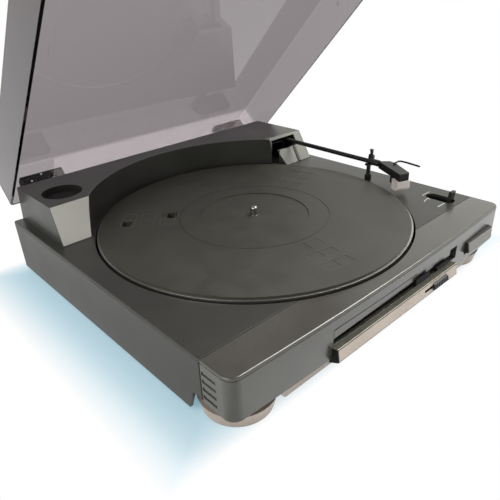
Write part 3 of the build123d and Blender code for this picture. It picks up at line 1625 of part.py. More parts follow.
def hinge_section(inset, x):
    """Section of a hinge block between the lid and its pin, run along X."""
    low, high = hinge_block_z
    points = [
        (lid_back + inset, low + inset),
        (lid_back + inset, high - inset),
        (lid_back + hinge_block_depth - inset, high - inset),
        (hinge_y + hinge_barrel - inset, hinge_z + hinge_barrel / 2 - inset),
        (hinge_y + hinge_barrel - inset, hinge_z),
        (hinge_y, hinge_z - hinge_barrel + inset),
    ]
    return section_x(points, x) + along_x(hinge_barrel - inset, x, hinge_y, hinge_z)


def hinge_block(x):
    """One hinge block with its middle cut out for the bracket's barrel."""
    body = hinge_section(0, x)
    middle = (x[0] + x[1]) / 2
    gap = (middle - hinge_tongue_half - seat_gap, middle + hinge_tongue_half + seat_gap)
    body -= along_x(hinge_barrel + seat_gap, gap, hinge_y, hinge_z)
    below = hinge_z - hinge_barrel - overrun
    clear = [
        (lid_back - overrun, below),
        (lid_back - overrun, hinge_block_z[0] + hinge_middle_rise),
        (hinge_y, hinge_z),
        (hinge_y + hinge_barrel + overrun, hinge_z),
        (hinge_y + hinge_barrel + overrun, below),
    ]
    body -= section_x(clear, gap)
    line = (middle - hinge_groove / 2, middle + hinge_groove / 2)
    ring = hinge_section(0, line) - hinge_section(hinge_groove_depth, line)
    above = (hinge_z + hinge_barrel, hinge_block_z[1] + overrun)
    body -= ring & block(line, (lid_back + overrun, hinge_y + hinge_block_depth), above)
    return body - along_x(hinge_pin_radius, (x[0] - overrun, x[1] + overrun), hinge_y, hinge_z)


def hinge_spans():
    """The stretches of X that the two hinges take."""
    return [(-hinge_x[1], -hinge_x[0]), hinge_x]


def hinge_blocks():
    """The two blocks on the lid's rear wall."""
    return [opened(hinge_block(x)) for x in hinge_spans()]


def hinge_pins():
    """The pins of the two hinges."""
    return [opened(along_x(hinge_pin_radius, x, hinge_y, hinge_z)) for x in hinge_spans()]


def hinge_brackets():
    """Brackets on the rear wall that carry the lid's pins."""
    brackets = []
    face = deck_back + hinge_plate_thick
    for x in hinge_spans():
        middle = (x[0] + x[1]) / 2
        tongue = (middle - hinge_tongue_half, middle + hinge_tongue_half)
        body = block(x, (deck_back, face), hinge_plate_z)
        points = [
            (face - hinge_plate_thick / 2, hinge_tongue_z[0]),
            (face - hinge_plate_thick / 2, hinge_tongue_z[1]),
            (hinge_y - hinge_tongue_upper[0], hinge_z - hinge_tongue_upper[1]),
            (hinge_y, hinge_z),
            (hinge_y - hinge_tongue_lower[0], hinge_z - hinge_tongue_lower[1]),
        ]
        body += section_x(points, tongue) + along_x(hinge_barrel, tongue, hinge_y, hinge_z)
        past = (tongue[0] - overrun, tongue[1] + overrun)
        brackets.append(body - along_x(hinge_pin_radius + running_gap, past, hinge_y, hinge_z))
    return brackets


def transformer():
    """Mains transformer: a laminated core round its coil."""
    core = block(transformer_x, core_y, transformer_z)
    return core + block(coil_x, transformer_y, coil_z)


def circuit_board():
    """Circuit board with two chips and three capacitors."""
    top = board_z + board_thick
    body = block(board_x, board_y, (board_z, top))
    length, width, height = chip_size
    for x, y in chip_places:
        body += block((x - length / 2, x + length / 2), (y - width / 2, y + width / 2), (top, top + height))
    for place in capacitor_places:
        body += upright(capacitor_radius, (top, top + capacitor_height), place)
    return body


def cable_glands():
    """Two glands in the rear wall, without their cords."""
    glands = []
    inside = deck_back - wall
    for x in gland_x:
        ends = (inside - gland_flange_thick, deck_back + gland_length)
        body = along_y(gland_radius, ends, x, gland_z)
        body += along_y(gland_flange, (deck_back, deck_back + gland_flange_thick), x, gland_z)
        body += along_y(gland_flange, (ends[0], inside), x, gland_z)
        glands.append(body - along_y(gland_bore, (ends[0] - overrun, ends[1] + overrun), x, gland_z))
    return glands


pieces = {
    "cabinet": cabinet(),
    "bottom_tray": bottom_tray(),
    "front_panel": front_panel(),
    "rear_bridge": rear_bridge(),
    "recess_strip": recess_strip(),
    "control_bar": control_bar(),
    "bar_trim": bar_trim(),
    "slide_knob": slide_knob(),
    "speed_key": selector_key(speed_key_x, speed_key_top),
    "size_key": selector_key(size_key_x, size_key_top),
    "start_button": start_button(),
    "start_button_face": start_button_face(),
    "button_guide": button_guide(),
    "start_spring": start_spring(),
    "platter": platter(),
    "platter_mat": platter_mat(),
    "spindle": spindle(),
    "hub_pinion": hub_pinion(),
    "spindle_bearing": spindle_bearing(),
    "thrust_pad": thrust_pad(),
    "drive_belt": drive_belt(),
    "motor": motor(),
    "motor_plate": motor_bracket(),
    "motor_grommets": motor_grommets(),
    "motor_screws": motor_screws(),
    "motor_pulley": motor_pulley(),
    "cam_gear": cam_gear(),
    "cam_gear_post": cam_post(),
    "cam_gear_clip": cam_clip(),
    "arm_base": arm_base(),
    "arm_yoke": arm_yoke(),
    "arm_pivot_pins": arm_pivot_pins(),
    "arm_drive_plate": arm_drive_plate(),
    "arm_pivot_block": arm_pivot_block(),
    "arm_tube": arm_tube(),
    "counterweight": counterweight(),
    "headshell": headshell(),
    "headshell_plate": headshell_plate(),
    "cartridge": cartridge(),
    "stylus": stylus(),
    "stylus_guard": stylus_guard(),
    "finger_lift": finger_lift(),
    "arm_rest": arm_rest(),
    "arm_clip": arm_clip(),
    "arm_lifter": arm_lifter(),
    "cue_guide": cue_guide(),
    "cue_lever": cue_lever(),
    "cue_slide": cue_slide(),
    "dust_cover": dust_cover(),
    "hinge_blocks": hinge_blocks(),
    "hinge_pins": hinge_pins(),
    "hinge_brackets": hinge_brackets(),
    "front_feet": [foot(side, True) for side in (-1, 1)],
    "rear_feet": [foot(side, False) for side in (-1, 1)],
    "foot_pads": foot_pads(),
    "foot_screws": foot_screws(),
    "case_screws": tray_screws() + bridge_screws(),
    "transformer": transformer(),
    "circuit_board": circuit_board(),
    "cable_glands": cable_glands(),
}

# Move everything so that the origin lies under the middle of the whole object
boxes = []
for shape in pieces.values():
    for solid in shape if isinstance(shape, list) else [shape]:
        boxes.append(solid.bounding_box())
shift = -(min(box.min.Y for box in boxes) + max(box.max.Y for box in boxes)) / 2

os.makedirs("parts", exist_ok=True)
for name, shape in pieces.items():
    if isinstance(shape, list):
        shape = Compound(children=[Pos(0, shift, 0) * solid for solid in shape])
    else:
        shape = Pos(0, shift, 0) * shape
    export_step(shape, "parts/" + name + ".step")
    print(name, len(shape.solids()), round(shape.volume), shape.is_valid)
print("shift along Y:", shift)
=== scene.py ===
# %% [markdown]
# # A turntable with a smoked lid
# The shapes of this object were modelled as solids, so most of this lesson is about finishes and light.
# The first cell loads the solids as a fixed frame. Nothing in that frame is moved: each solid keeps its
# place, and gets the material of the real piece.

# %% Load the frame
import bpy
import bmesh
from math import radians, cos, sin
from mathutils import Matrix, Vector


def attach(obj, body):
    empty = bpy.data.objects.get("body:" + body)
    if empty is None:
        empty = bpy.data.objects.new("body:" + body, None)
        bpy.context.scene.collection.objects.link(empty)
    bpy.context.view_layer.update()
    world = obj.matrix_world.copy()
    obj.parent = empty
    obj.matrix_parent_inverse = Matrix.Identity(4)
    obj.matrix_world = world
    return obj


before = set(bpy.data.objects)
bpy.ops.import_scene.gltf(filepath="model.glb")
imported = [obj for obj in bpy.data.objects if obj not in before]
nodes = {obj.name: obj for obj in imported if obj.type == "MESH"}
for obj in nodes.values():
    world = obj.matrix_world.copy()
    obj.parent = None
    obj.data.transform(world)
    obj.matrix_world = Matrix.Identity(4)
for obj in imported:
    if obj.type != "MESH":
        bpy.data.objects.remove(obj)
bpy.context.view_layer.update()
MM = 0.001

# %% [markdown]
# ## The camera
# The photograph looks down on the left front corner from about half a metre. A wide view from so near makes
# the parallel edges of the deck meet quickly, and only a camera that stands as near and as low gives the
# same picture. Its place was worked out from the deck's straight edges and the round platter.

# %% Camera
camera_data = bpy.data.cameras.new("camera")
camera_data.sensor_width = 36.0
camera_data.lens = 36.0 * 511.31 / 500.0
camera_data.clip_start = 0.02
camera = bpy.data.objects.new("camera", camera_data)
bpy.context.scene.collection.objects.link(camera)
camera.location = (-0.32162, -0.36125, 0.26869)
camera.rotation_euler = (radians(61.788), radians(2.248), radians(-43.047))
bpy.context.scene.camera = camera
print("lens", round(camera_data.lens, 2), "mm")

# %% [markdown]
# ## Colours and nodes
# Every material below is a small network of nodes. Two helpers keep the cells short: one turns a colour
# code from a paint program into the linear numbers that light is added up in, and one adds a node with its
# settings and links.

# %% Helpers for materials
def linear(code):
    """A colour from its sRGB hex code, as linear numbers with alpha."""
    parts = [int(code[i:i + 2], 16) / 255 for i in (1, 3, 5)]
    return tuple(v / 12.92 if v <= 0.04045 else ((v + 0.055) / 1.055) ** 2.4 for v in parts) + (1.0,)


def add(tree, kind, inputs=None, **settings):
    """Adds a node, sets its settings, and fills its sockets with values or links."""
    made = tree.nodes.new(kind)
    for name, value in settings.items():
        setattr(made, name, value)
    for name, value in (inputs or {}).items():
        if isinstance(value, bpy.types.NodeSocket):
            tree.links.new(value, made.inputs[name])
        else:
            made.inputs[name].default_value = value
    return made


def empty_material(name):
    """A new material with only its node tree."""
    material = bpy.data.materials.new(name)
    material.use_nodes = True
    material.node_tree.nodes.clear()
    return material, material.node_tree


print("white is", linear("#ffffff")[:3])

# %% [markdown]
# ## Floor
# A product picture on white needs a floor that stays white around the object, yet still takes its shadow.
# The floor is pale paint, mixed with a light of its own that only rays from the camera, from a reflection or
# through the clear lid can see. Under the object and close to its sides that light is half of the mix and
# cool, so that the soft shadow shows with the blue tint of daylight, and further out it takes over.
# In reflections the strip of floor beside the left wall, where the shadow lies, is darker too, and that
# shades the side wall and the rounded corner.

# %% Floor
# Metres from the object's middle: where the tinted floor at its sides and its front starts and stops fading.
FADE_BESIDE = (0.184, 0.232)
FADE_BEFORE = (0.146, 0.178)
# Metres: how far the darker strip lies to the left of the middle, and its half width.
STRIP_PLACE = 0.2
STRIP_HALF_WIDTH = 0.055
FLOOR_HALF_WIDTH = 6.0


def painted_floor():
    """Pale studio floor."""
    material, tree = empty_material("pale_studio_floor")
    place = add(tree, "ShaderNodeTexCoord").outputs["Object"]
    away = add(tree, "ShaderNodeVectorMath", {0: place}, operation="ABSOLUTE").outputs[0]
    apart = add(tree, "ShaderNodeSeparateXYZ", {0: away}).outputs
    beside = add(tree, "ShaderNodeMapRange", {
        "Value": apart["X"], "From Min": FADE_BESIDE[0], "From Max": FADE_BESIDE[1],
    }).outputs[0]
    before = add(tree, "ShaderNodeMapRange", {
        "Value": apart["Y"], "From Min": FADE_BEFORE[0], "From Max": FADE_BEFORE[1],
    }).outputs[0]
    far = add(tree, "ShaderNodeMath", {0: beside, 1: before}, operation="MAXIMUM").outputs[0]
    ray = add(tree, "ShaderNodeLightPath").outputs
    straight = add(tree, "ShaderNodeMath", {
        0: ray["Is Camera Ray"], 1: ray["Is Transmission Ray"],
    }, operation="MAXIMUM").outputs[0]
    cool = add(tree, "ShaderNodeMix", {
        0: ray["Is Camera Ray"], 6: linear("#fbfaf6"), 7: linear("#8ecbe2"),
    }, data_type="RGBA").outputs[2]
    glow = add(tree, "ShaderNodeMix", {0: far, 6: cool, 7: linear("#ffffff")}, data_type="RGBA").outputs[2]
    share = add(tree, "ShaderNodeMapRange", {"Value": far, "To Min": 0.5, "To Max": 1.0}).outputs[0]
    seen = add(tree, "ShaderNodeMath", {
        0: straight, 1: ray["Is Glossy Ray"],
    }, operation="MAXIMUM").outputs[0]
    part = add(tree, "ShaderNodeMath", {0: seen, 1: share}, operation="MULTIPLY").outputs[0]
    paint = add(tree, "ShaderNodeBsdfDiffuse", {"Color": linear("#f6fafc")}).outputs[0]
    side = add(tree, "ShaderNodeSeparateXYZ", {0: place}).outputs["X"]
    shifted = add(tree, "ShaderNodeMath", {0: side, 1: STRIP_PLACE}, operation="ADD").outputs[0]
    gap = add(tree, "ShaderNodeMath", {0: shifted}, operation="ABSOLUTE").outputs[0]
    falloff = add(tree, "ShaderNodeMapRange", {
        "Value": gap, "From Max": STRIP_HALF_WIDTH, "To Min": 0.6, "To Max": 1.0,
    }).outputs[0]
    power = add(tree, "ShaderNodeMath", {0: straight, 1: falloff}, operation="MAXIMUM").outputs[0]
    own = add(tree, "ShaderNodeEmission", {"Color": glow, "Strength": power}).outputs[0]
    mixed = add(tree, "ShaderNodeMixShader", {0: part, 1: paint, 2: own}).outputs[0]
    add(tree, "ShaderNodeOutputMaterial", {"Surface": mixed})
    return material


floor_mesh = bpy.data.meshes.new("floor")
floor_shape = bmesh.new()
bmesh.ops.create_grid(floor_shape, x_segments=1, y_segments=1, size=FLOOR_HALF_WIDTH)
floor_shape.to_mesh(floor_mesh)
floor_shape.free()
floor = bpy.data.objects.new("floor", floor_mesh)
bpy.context.scene.collection.objects.link(floor)
floor_mesh.materials.append(painted_floor())
print("floor", 2 * FLOOR_HALF_WIDTH, "m across")

# %% [markdown]
# ## World and lamps
# Dark plastic shows its shape mostly by what it mirrors. The studio's walls are white and its ceiling is
# darker, so an edge seen at a flat angle turns pale and a face seen from straight ahead stays dark.
# The world's own light fills the shadows. Rays that come straight from the camera or through the lid see
# plain white.

# %% World
world = bpy.data.worlds.new("studio")
bpy.context.scene.world = world
world.use_nodes = True
sky = world.node_tree
sky.nodes.clear()
ray = add(sky, "ShaderNodeLightPath").outputs
aim = add(sky, "ShaderNodeTexCoord").outputs["Generated"]
height = add(sky, "ShaderNodeSeparateXYZ", {0: aim}).outputs["Z"]
walls = add(sky, "ShaderNodeMapRange", {
    "Value": height, "From Min": 0.3, "From Max": 0.75, "To Min": 1.0, "To Max": 0.26,
}).outputs[0]
soft = add(sky, "ShaderNodeBackground", {"Color": linear("#f3f3f0"), "Strength": 0.72}).outputs[0]
mirrored = add(sky, "ShaderNodeBackground", {"Color": linear("#fffef8"), "Strength": walls}).outputs[0]
white = add(sky, "ShaderNodeBackground", {"Color": linear("#ffffff"), "Strength": 1.0}).outputs[0]
through = add(sky, "ShaderNodeMath", {
    0: ray["Is Camera Ray"], 1: ray["Is Transmission Ray"],
}, operation="MAXIMUM").outputs[0]
lit = add(sky, "ShaderNodeMixShader", {0: ray["Is Glossy Ray"], 1: soft, 2: mirrored}).outputs[0]
both = add(sky, "ShaderNodeMixShader", {0: through, 1: lit, 2: white}).outputs[0]
add(sky, "ShaderNodeOutputWorld", {"Surface": both})
print("world nodes:", len(sky.nodes))

# %% [markdown]
# A large soft lamp on the right is the daylight, and a small one on the left lights the side wall and the
# left tower, while the corner that faces the camera stays dark.

# %% Lamps
def lamp(name, place, target, size, power, colour):
    """A square soft lamp that faces a point."""
    data = bpy.data.lights.new(name, "AREA")
    data.size = size
    data.energy = power
    data.color = linear(colour)[:3]
    made = bpy.data.objects.new(name, data)
    bpy.context.scene.collection.objects.link(made)
    made.location = place
    made.rotation_euler = (Vector(target) - Vector(place)).to_track_quat("-Z", "Y").to_euler()


lamp("daylight_right", (1.15, -0.35, 1.75), (0, 0, 0.05), 1.2, 52.0, "#fffdf8")
lamp("fill_left", (-1.0, -0.1, 0.6), (-0.1, 0, 0.05), 0.8, 6.0, "#fffdf9")
bpy.context.scene.view_settings.view_transform = "Standard"

# %% [markdown]
# ## Moulded plastic
# The case is ABS, moulded in a tool whose surface was spark-eroded: a fine, even grain of about half
# a millimetre that breaks the light up and makes the plastic look satin. The same recipe, with other
# colours and grain, gives all the plain mouldings. Broad, faint clouds in the colour and the gloss keep
# a large face from looking computed, as years of handling do on the real one. A bevel node rounds each
# edge by a fraction of a millimetre, which draws the thin pale lines that moulded edges have, and the
# same node finds the edges, which are painted paler as a painted highlight. Dust is drawn as specks
# some seven millimetres apart.

# %% Plastic recipe
CLOUD_MM = 45
DUST_MM = 7


def moulded(name, dark, light, grain_mm=0.5, relief_mm=0.02, gloss=(0.36, 0.44), edge_highlight=0.25, dust=0.0,
            round_mm=0.4, shine=0.5, coat=0.0):
    """Moulded plastic with a spark-eroded grain, cloudy colour, a painted highlight on its edges and a little
    dust.
    """
    material, tree = empty_material(name)
    place = add(tree, "ShaderNodeTexCoord").outputs["Object"]
    grain = add(tree, "ShaderNodeTexNoise", {
        "Vector": place, "Scale": 1 / (grain_mm * MM), "Detail": 3.0, "Roughness": 0.6,
    }).outputs[0]
    clouds = add(tree, "ShaderNodeTexNoise", {
        "Vector": place, "Scale": 1 / (CLOUD_MM * MM), "Detail": 4.0, "Roughness": 0.55,
    }).outputs[0]
    tone = add(tree, "ShaderNodeMapRange", {"Value": clouds, "From Min": 0.35, "From Max": 0.65}).outputs[0]
    body = add(tree, "ShaderNodeMix", {
        0: tone, 6: linear(dark), 7: linear(light),
    }, data_type="RGBA").outputs[2]
    edge = add(tree, "ShaderNodeBevel", {"Radius": round_mm * MM}, samples=4).outputs[0]
    flat = add(tree, "ShaderNodeNewGeometry").outputs["Normal"]
    lean = add(tree, "ShaderNodeVectorMath", {0: edge, 1: flat}, operation="DOT_PRODUCT").outputs["Value"]
    # The edges that the bevel finds are mixed towards pale grey: a painted highlight.
    painted_highlight = add(tree, "ShaderNodeMapRange", {
        "Value": lean, "From Min": 0.995, "From Max": 0.85, "To Max": edge_highlight,
    }).outputs[0]
    patchy = add(tree, "ShaderNodeMath", {0: painted_highlight, 1: tone}, operation="MULTIPLY").outputs[0]
    body = add(tree, "ShaderNodeMix", {
        0: patchy, 6: body, 7: linear("#8d8d88"),
    }, data_type="RGBA").outputs[2]
    speck = add(tree, "ShaderNodeTexVoronoi", {"Vector": place, "Scale": 1 / (DUST_MM * MM)})
    small = add(tree, "ShaderNodeMath", {
        0: speck.outputs["Distance"], 1: 0.035,
    }, operation="LESS_THAN").outputs[0]
    few = add(tree, "ShaderNodeMath", {
        0: speck.outputs["Color"], 1: 0.62,
    }, operation="GREATER_THAN").outputs[0]
    grit = add(tree, "ShaderNodeMath", {0: small, 1: few}, operation="MULTIPLY").outputs[0]
    amount = add(tree, "ShaderNodeMath", {0: grit, 1: dust}, operation="MULTIPLY").outputs[0]
    body = add(tree, "ShaderNodeMix", {
        0: amount, 6: body, 7: linear("#c9c9c2"),
    }, data_type="RGBA").outputs[2]
    relief = add(tree, "ShaderNodeBump", {
        "Height": grain, "Distance": relief_mm * MM, "Strength": 0.6, "Normal": edge,
    }).outputs[0]
    sheen = add(tree, "ShaderNodeMapRange", {
        "Value": clouds, "From Min": 0.35, "From Max": 0.65, "To Min": gloss[0], "To Max": gloss[1],
    }).outputs[0]
    shader = add(tree, "ShaderNodeBsdfPrincipled", {
        "Base Color": body,
        "Roughness": sheen,
        "IOR": 1.52,
        "Specular IOR Level": shine,
        "Coat Weight": coat,
        "Coat Roughness": 0.25,
        "Coat IOR": 1.35,
        "Normal": relief,
    }).outputs[0]
    add(tree, "ShaderNodeOutputMaterial", {"Surface": shader})
    return material


def paint_pieces(material, *names):
    """Gives a material to the named pieces of the frame."""
    for name in names:
        nodes[name].data.materials.clear()
        nodes[name].data.materials.append(material)
    print(material.name, "on", len(names), "pieces")


# %% [markdown]
# The shell and the bridge are one charcoal. The front panel is the same plastic under a coat of clear satin
# lacquer, so it mirrors the floor twice and looks paler, and its charcoal is also set a little paler than the
# shell's as a painted reflection. The tray below is a rose beige. The bar, its keys and the hinges are a dull
# black that mirrors little, and the button, the slide knob and the small fittings of the deck and the arm are a
# glossier one. The unseen gears are bare acetal, which is slippery and a little waxy, and the circuit board is
# brown phenolic paper.

# %% Case mouldings
case_abs = moulded("charcoal_abs_spark_eroded", "#262623", "#2d2d2a", relief_mm=0.03, gloss=(0.28, 0.36),
                   edge_highlight=0.5, dust=0.5, round_mm=0.6)
# The front panel's paler charcoal is a painted reflection.
front_abs = moulded("charcoal_abs_satin_lacquered", "#33322c", "#3a3933", grain_mm=0.45, gloss=(0.2, 0.28),
                    edge_highlight=0.4, dust=0.2, shine=0.6, coat=1.0)
beige_abs = moulded("rose_beige_abs", "#9d9188", "#a99d93", gloss=(0.42, 0.52), edge_highlight=0.1)
black_abs = moulded("black_abs", "#0c0c0d", "#131314", grain_mm=0.4, relief_mm=0.015, gloss=(0.34, 0.42),
                    edge_highlight=0.1)
dull_black = moulded("dull_black_abs", "#08080a", "#0e0e10", grain_mm=0.4, gloss=(0.6, 0.7),
                     edge_highlight=0.05, shine=0.2)
bar_top = moulded("olive_grey_paint_on_abs", "#4c4a41", "#57554b", grain_mm=0.4, relief_mm=0.01,
                  gloss=(0.24, 0.32), edge_highlight=0.0)
white_abs = moulded("white_acetal_slide", "#c9c8be", "#d8d7cd", grain_mm=0.6, relief_mm=0.01, gloss=(0.4, 0.5),
                    edge_highlight=0.0)
paint_pieces(case_abs, "cabinet", "rear_bridge")
paint_pieces(front_abs, "front_panel", "recess_strip")
paint_pieces(beige_abs, "bottom_tray", "front_feet")
paint_pieces(dull_black, "control_bar", "speed_key", "size_key", "hinge_blocks", "hinge_brackets", "cartridge")
paint_pieces(white_abs, "cue_slide")
paint_pieces(black_abs, "slide_knob", "start_button", "button_guide", "rear_feet", "arm_base", "headshell",
             "arm_rest", "arm_clip", "arm_lifter", "cue_guide", "cable_glands", "cue_lever")
acetal = moulded("natural_acetal", "#cfcdc4", "#dad8cf", grain_mm=0.8, relief_mm=0.01, edge_highlight=0.0)
paint_pieces(acetal, "hub_pinion", "thrust_pad", "cam_gear", "stylus")
board = moulded("phenolic_paper_board", "#6b4a25", "#7a5730", grain_mm=0.9, relief_mm=0.01, edge_highlight=0.0)
paint_pieces(board, "circuit_board")

# %% [markdown]
# ## Smoked lid
# The lid is clear acrylic with a violet-grey dye all through it. A tint on the surface would look the same
# from every side, so the colour is put inside, as a volume that swallows light: a ray that crosses the thin
# wall keeps a quarter of its light, and one that runs along a wall keeps nothing, which gives the real
# lid its black edges. Wiping has left faint clouds in the gloss and a few fine scratches.

# %% Smoked lid
HAZE_MM = 70
# A scratch is 0.9 mm wide, as coarse as it needs to be to show, and 28 mm long.
SCRATCH_SCALE = (1 / 0.9, 1 / 28, 1 / 28)


def smoked_acrylic():
    """Clear acrylic with a violet-grey dye and faint wiping marks."""
    material, tree = empty_material("smoked_acrylic_dyed_through")
    place = add(tree, "ShaderNodeTexCoord").outputs["Object"]
    haze = add(tree, "ShaderNodeTexNoise", {
        "Vector": place, "Scale": 1 / (HAZE_MM * MM), "Detail": 5.0, "Roughness": 0.6,
    }).outputs[0]
    gloss = add(tree, "ShaderNodeMapRange", {
        "Value": haze, "From Min": 0.4, "From Max": 0.7, "To Min": 0.015, "To Max": 0.05,
    }).outputs[0]
    turned = add(tree, "ShaderNodeMapping", {
        "Vector": place, "Rotation": (0.5, 0.4, 0.9), "Scale": SCRATCH_SCALE,
    }).outputs[0]
    hair = add(tree, "ShaderNodeTexNoise", {"Vector": turned, "Scale": 1 / MM, "Detail": 1.0}).outputs[0]
    scratch = add(tree, "ShaderNodeMapRange", {
        "Value": hair, "From Min": 0.765, "From Max": 0.8, "To Max": 0.5,
    }).outputs[0]
    tint = add(tree, "ShaderNodeMix", {
        0: scratch, 6: linear("#ffffff"), 7: linear("#8a8084"),
    }, data_type="RGBA").outputs[2]
    shader = add(tree, "ShaderNodeBsdfPrincipled", {
        "Base Color": tint,
        "Roughness": gloss,
        "IOR": 1.49,
        "Transmission Weight": 1.0,
    }).outputs[0]
    clear = add(tree, "ShaderNodeBsdfTransparent", {"Color": linear("#ffffff")}).outputs[0]
    shade = add(tree, "ShaderNodeLightPath").outputs["Is Shadow Ray"]
    mixed = add(tree, "ShaderNodeMixShader", {0: shade, 1: shader, 2: clear}).outputs[0]
    dye = add(tree, "ShaderNodeVolumeAbsorption", {"Color": linear("#9e9298"), "Density": 560.0}).outputs[0]
    add(tree, "ShaderNodeOutputMaterial", {"Surface": mixed, "Volume": dye})
    return material


paint_pieces(smoked_acrylic(), "dust_cover")

# %% [markdown]
# ## Rubber
# The mat is moulded rubber. New rubber is black, and with age a greenish dusty bloom rises to its surface,
# so it looks dark grey and takes a broad dull sheen where the light skims it. Fine scuffs cross it.

# %% Rubber recipe
BLOOM_MM = 28
# A scuff is 0.5 mm wide and 26 mm long.
SCUFF_SCALE = (1 / 0.5, 1 / 26, 1 / 26)


def rubber(name, dark, light, gloss, scuffs=0.0):
    """Moulded rubber with a dusty bloom and fine scuffs."""
    material, tree = empty_material(name)
    place = add(tree, "ShaderNodeTexCoord").outputs["Object"]
    bloom = add(tree, "ShaderNodeTexNoise", {
        "Vector": place, "Scale": 1 / (BLOOM_MM * MM), "Detail": 5.0, "Roughness": 0.6,
    }).outputs[0]
    grain = add(tree, "ShaderNodeTexNoise", {
        "Vector": place, "Scale": 1 / (0.6 * MM), "Detail": 2.0, "Roughness": 0.6,
    }).outputs[0]
    tone = add(tree, "ShaderNodeMapRange", {"Value": bloom, "From Min": 0.35, "From Max": 0.65}).outputs[0]
    body = add(tree, "ShaderNodeMix", {
        0: tone, 6: linear(dark), 7: linear(light),
    }, data_type="RGBA").outputs[2]
    turned = add(tree, "ShaderNodeMapping", {
        "Vector": place, "Rotation": (0.0, 0.0, 0.6), "Scale": SCUFF_SCALE,
    }).outputs[0]
    hair = add(tree, "ShaderNodeTexNoise", {"Vector": turned, "Scale": 1 / MM, "Detail": 1.0}).outputs[0]
    scuff = add(tree, "ShaderNodeMapRange", {
        "Value": hair, "From Min": 0.74, "From Max": 0.8, "To Max": scuffs,
    }).outputs[0]
    body = add(tree, "ShaderNodeMix", {
        0: scuff, 6: body, 7: linear("#7d7c74"),
    }, data_type="RGBA").outputs[2]
    edge = add(tree, "ShaderNodeBevel", {"Radius": 0.3 * MM}, samples=4).outputs[0]
    relief = add(tree, "ShaderNodeBump", {
        "Height": grain, "Distance": 0.02 * MM, "Strength": 0.7, "Normal": edge,
    }).outputs[0]
    dull = add(tree, "ShaderNodeMapRange", {
        "Value": bloom, "From Min": 0.35, "From Max": 0.65, "To Min": gloss[0], "To Max": gloss[1],
    }).outputs[0]
    shader = add(tree, "ShaderNodeBsdfPrincipled", {
        "Base Color": body,
        "Roughness": dull,
        "IOR": 1.5,
        "Normal": relief,
    }).outputs[0]
    add(tree, "ShaderNodeOutputMaterial", {"Surface": shader})
    return material


mat_rubber = rubber("moulded_rubber_mat", "#2a2a23", "#31312a", (0.48, 0.58), 0.35)
# The ribs' paler rubber is a painted highlight.
rib_highlight_rubber = rubber("rubber_ribs_painted_highlight", "#46463e", "#505047", (0.5, 0.6))
paint_pieces(mat_rubber, "platter_mat")
black_rubber = rubber("black_rubber", "#151515", "#1c1c1c", (0.7, 0.85))
paint_pieces(black_rubber, "foot_pads", "drive_belt", "motor_grommets")

# %% [markdown]
# ## Metals
# A metal's colour is the colour of its reflection, so it takes the whole base colour and no separate gloss
# colour. What tells one metal from another is the direction and size of the marks of its making: turned
# marks run round, drawn marks run along, and plating has hardly any.

# %% Metal recipe
def metal(name, colour, rough, stretch=(1, 1, 1), relief_mm=0.004):
    """A bare or plated metal whose fine marks may run one way."""
    material, tree = empty_material(name)
    place = add(tree, "ShaderNodeTexCoord").outputs["Object"]
    drawn = add(tree, "ShaderNodeMapping", {"Vector": place, "Scale": stretch}).outputs[0]
    marks = add(tree, "ShaderNodeTexNoise", {
        "Vector": drawn, "Scale": 1 / (0.6 * MM), "Detail": 3.0, "Roughness": 0.6,
    }).outputs[0]
    edge = add(tree, "ShaderNodeBevel", {"Radius": 0.25 * MM}, samples=4).outputs[0]
    relief = add(tree, "ShaderNodeBump", {
        "Height": marks, "Distance": relief_mm * MM, "Strength": 0.5, "Normal": edge,
    }).outputs[0]
    dull = add(tree, "ShaderNodeMapRange", {
        "Value": marks, "From Min": 0.35, "From Max": 0.65, "To Min": rough[0], "To Max": rough[1],
    }).outputs[0]
    shader = add(tree, "ShaderNodeBsdfPrincipled", {
        "Base Color": linear(colour),
        "Metallic": 1.0,
        "Roughness": dull,
        "Normal": relief,
    }).outputs[0]
    add(tree, "ShaderNodeOutputMaterial", {"Surface": shader})
    return material


paint_pieces(metal("die_cast_aluminium_turned", "#b4b3b0", (0.28, 0.36), (1, 1, 8)), "platter")
paint_pieces(metal("chromed_steel", "#9c9c98", (0.14, 0.22)), "spindle")
zinc = metal("zinc_plated_steel", "#a9aaa8", (0.25, 0.4))
paint_pieces(zinc, "motor", "motor_plate", "motor_screws", "start_spring", "cam_gear_post", "cam_gear_clip",
             "arm_yoke", "arm_pivot_pins", "arm_drive_plate", "hinge_pins", "foot_screws", "case_screws",
             "transformer")
paint_pieces(metal("turned_brass", "#b08d4a", (0.2, 0.35), (1, 1, 6)), "motor_pulley")
paint_pieces(metal("sintered_bronze", "#7c5f3a", (0.5, 0.65)), "spindle_bearing")

# %% [markdown]
# ## Arm, trim and guard
# The arm tube is aluminium under black lacquer, so it keeps a thin bright line along its top. The bar's
# front carries a thin champagne plate, the start button a grey one. The stylus guard is clear styrene that
# has gone milky, so only a third of the light passes straight through it.

# %% Arm, trim and guard
# The edges of these black parts are painted a little paler, a painted highlight; the head plate's edges much
# paler.
lacquer = moulded("black_lacquered_aluminium", "#0b0b0b", "#111111", grain_mm=0.3, relief_mm=0.004,
                  gloss=(0.22, 0.3), edge_highlight=0.2)
paint_pieces(lacquer, "arm_tube", "arm_pivot_block", "counterweight", "finger_lift")
head_plate = moulded("dark_head_plate", "#161616", "#1d1d1c", grain_mm=0.3, relief_mm=0.006,
                     gloss=(0.34, 0.42), edge_highlight=0.9, shine=0.3)
paint_pieces(head_plate, "headshell_plate")
trim_plate = moulded("champagne_trim_plate", "#a4978c", "#ada095", grain_mm=0.3, relief_mm=0.008,
                     gloss=(0.26, 0.36), edge_highlight=0.0)
paint_pieces(trim_plate, "bar_trim")
button_plate = moulded("grey_button_plate", "#6e6b68", "#787572", grain_mm=0.3, relief_mm=0.01,
                       gloss=(0.34, 0.44), edge_highlight=0.0)
paint_pieces(button_plate, "start_button_face")


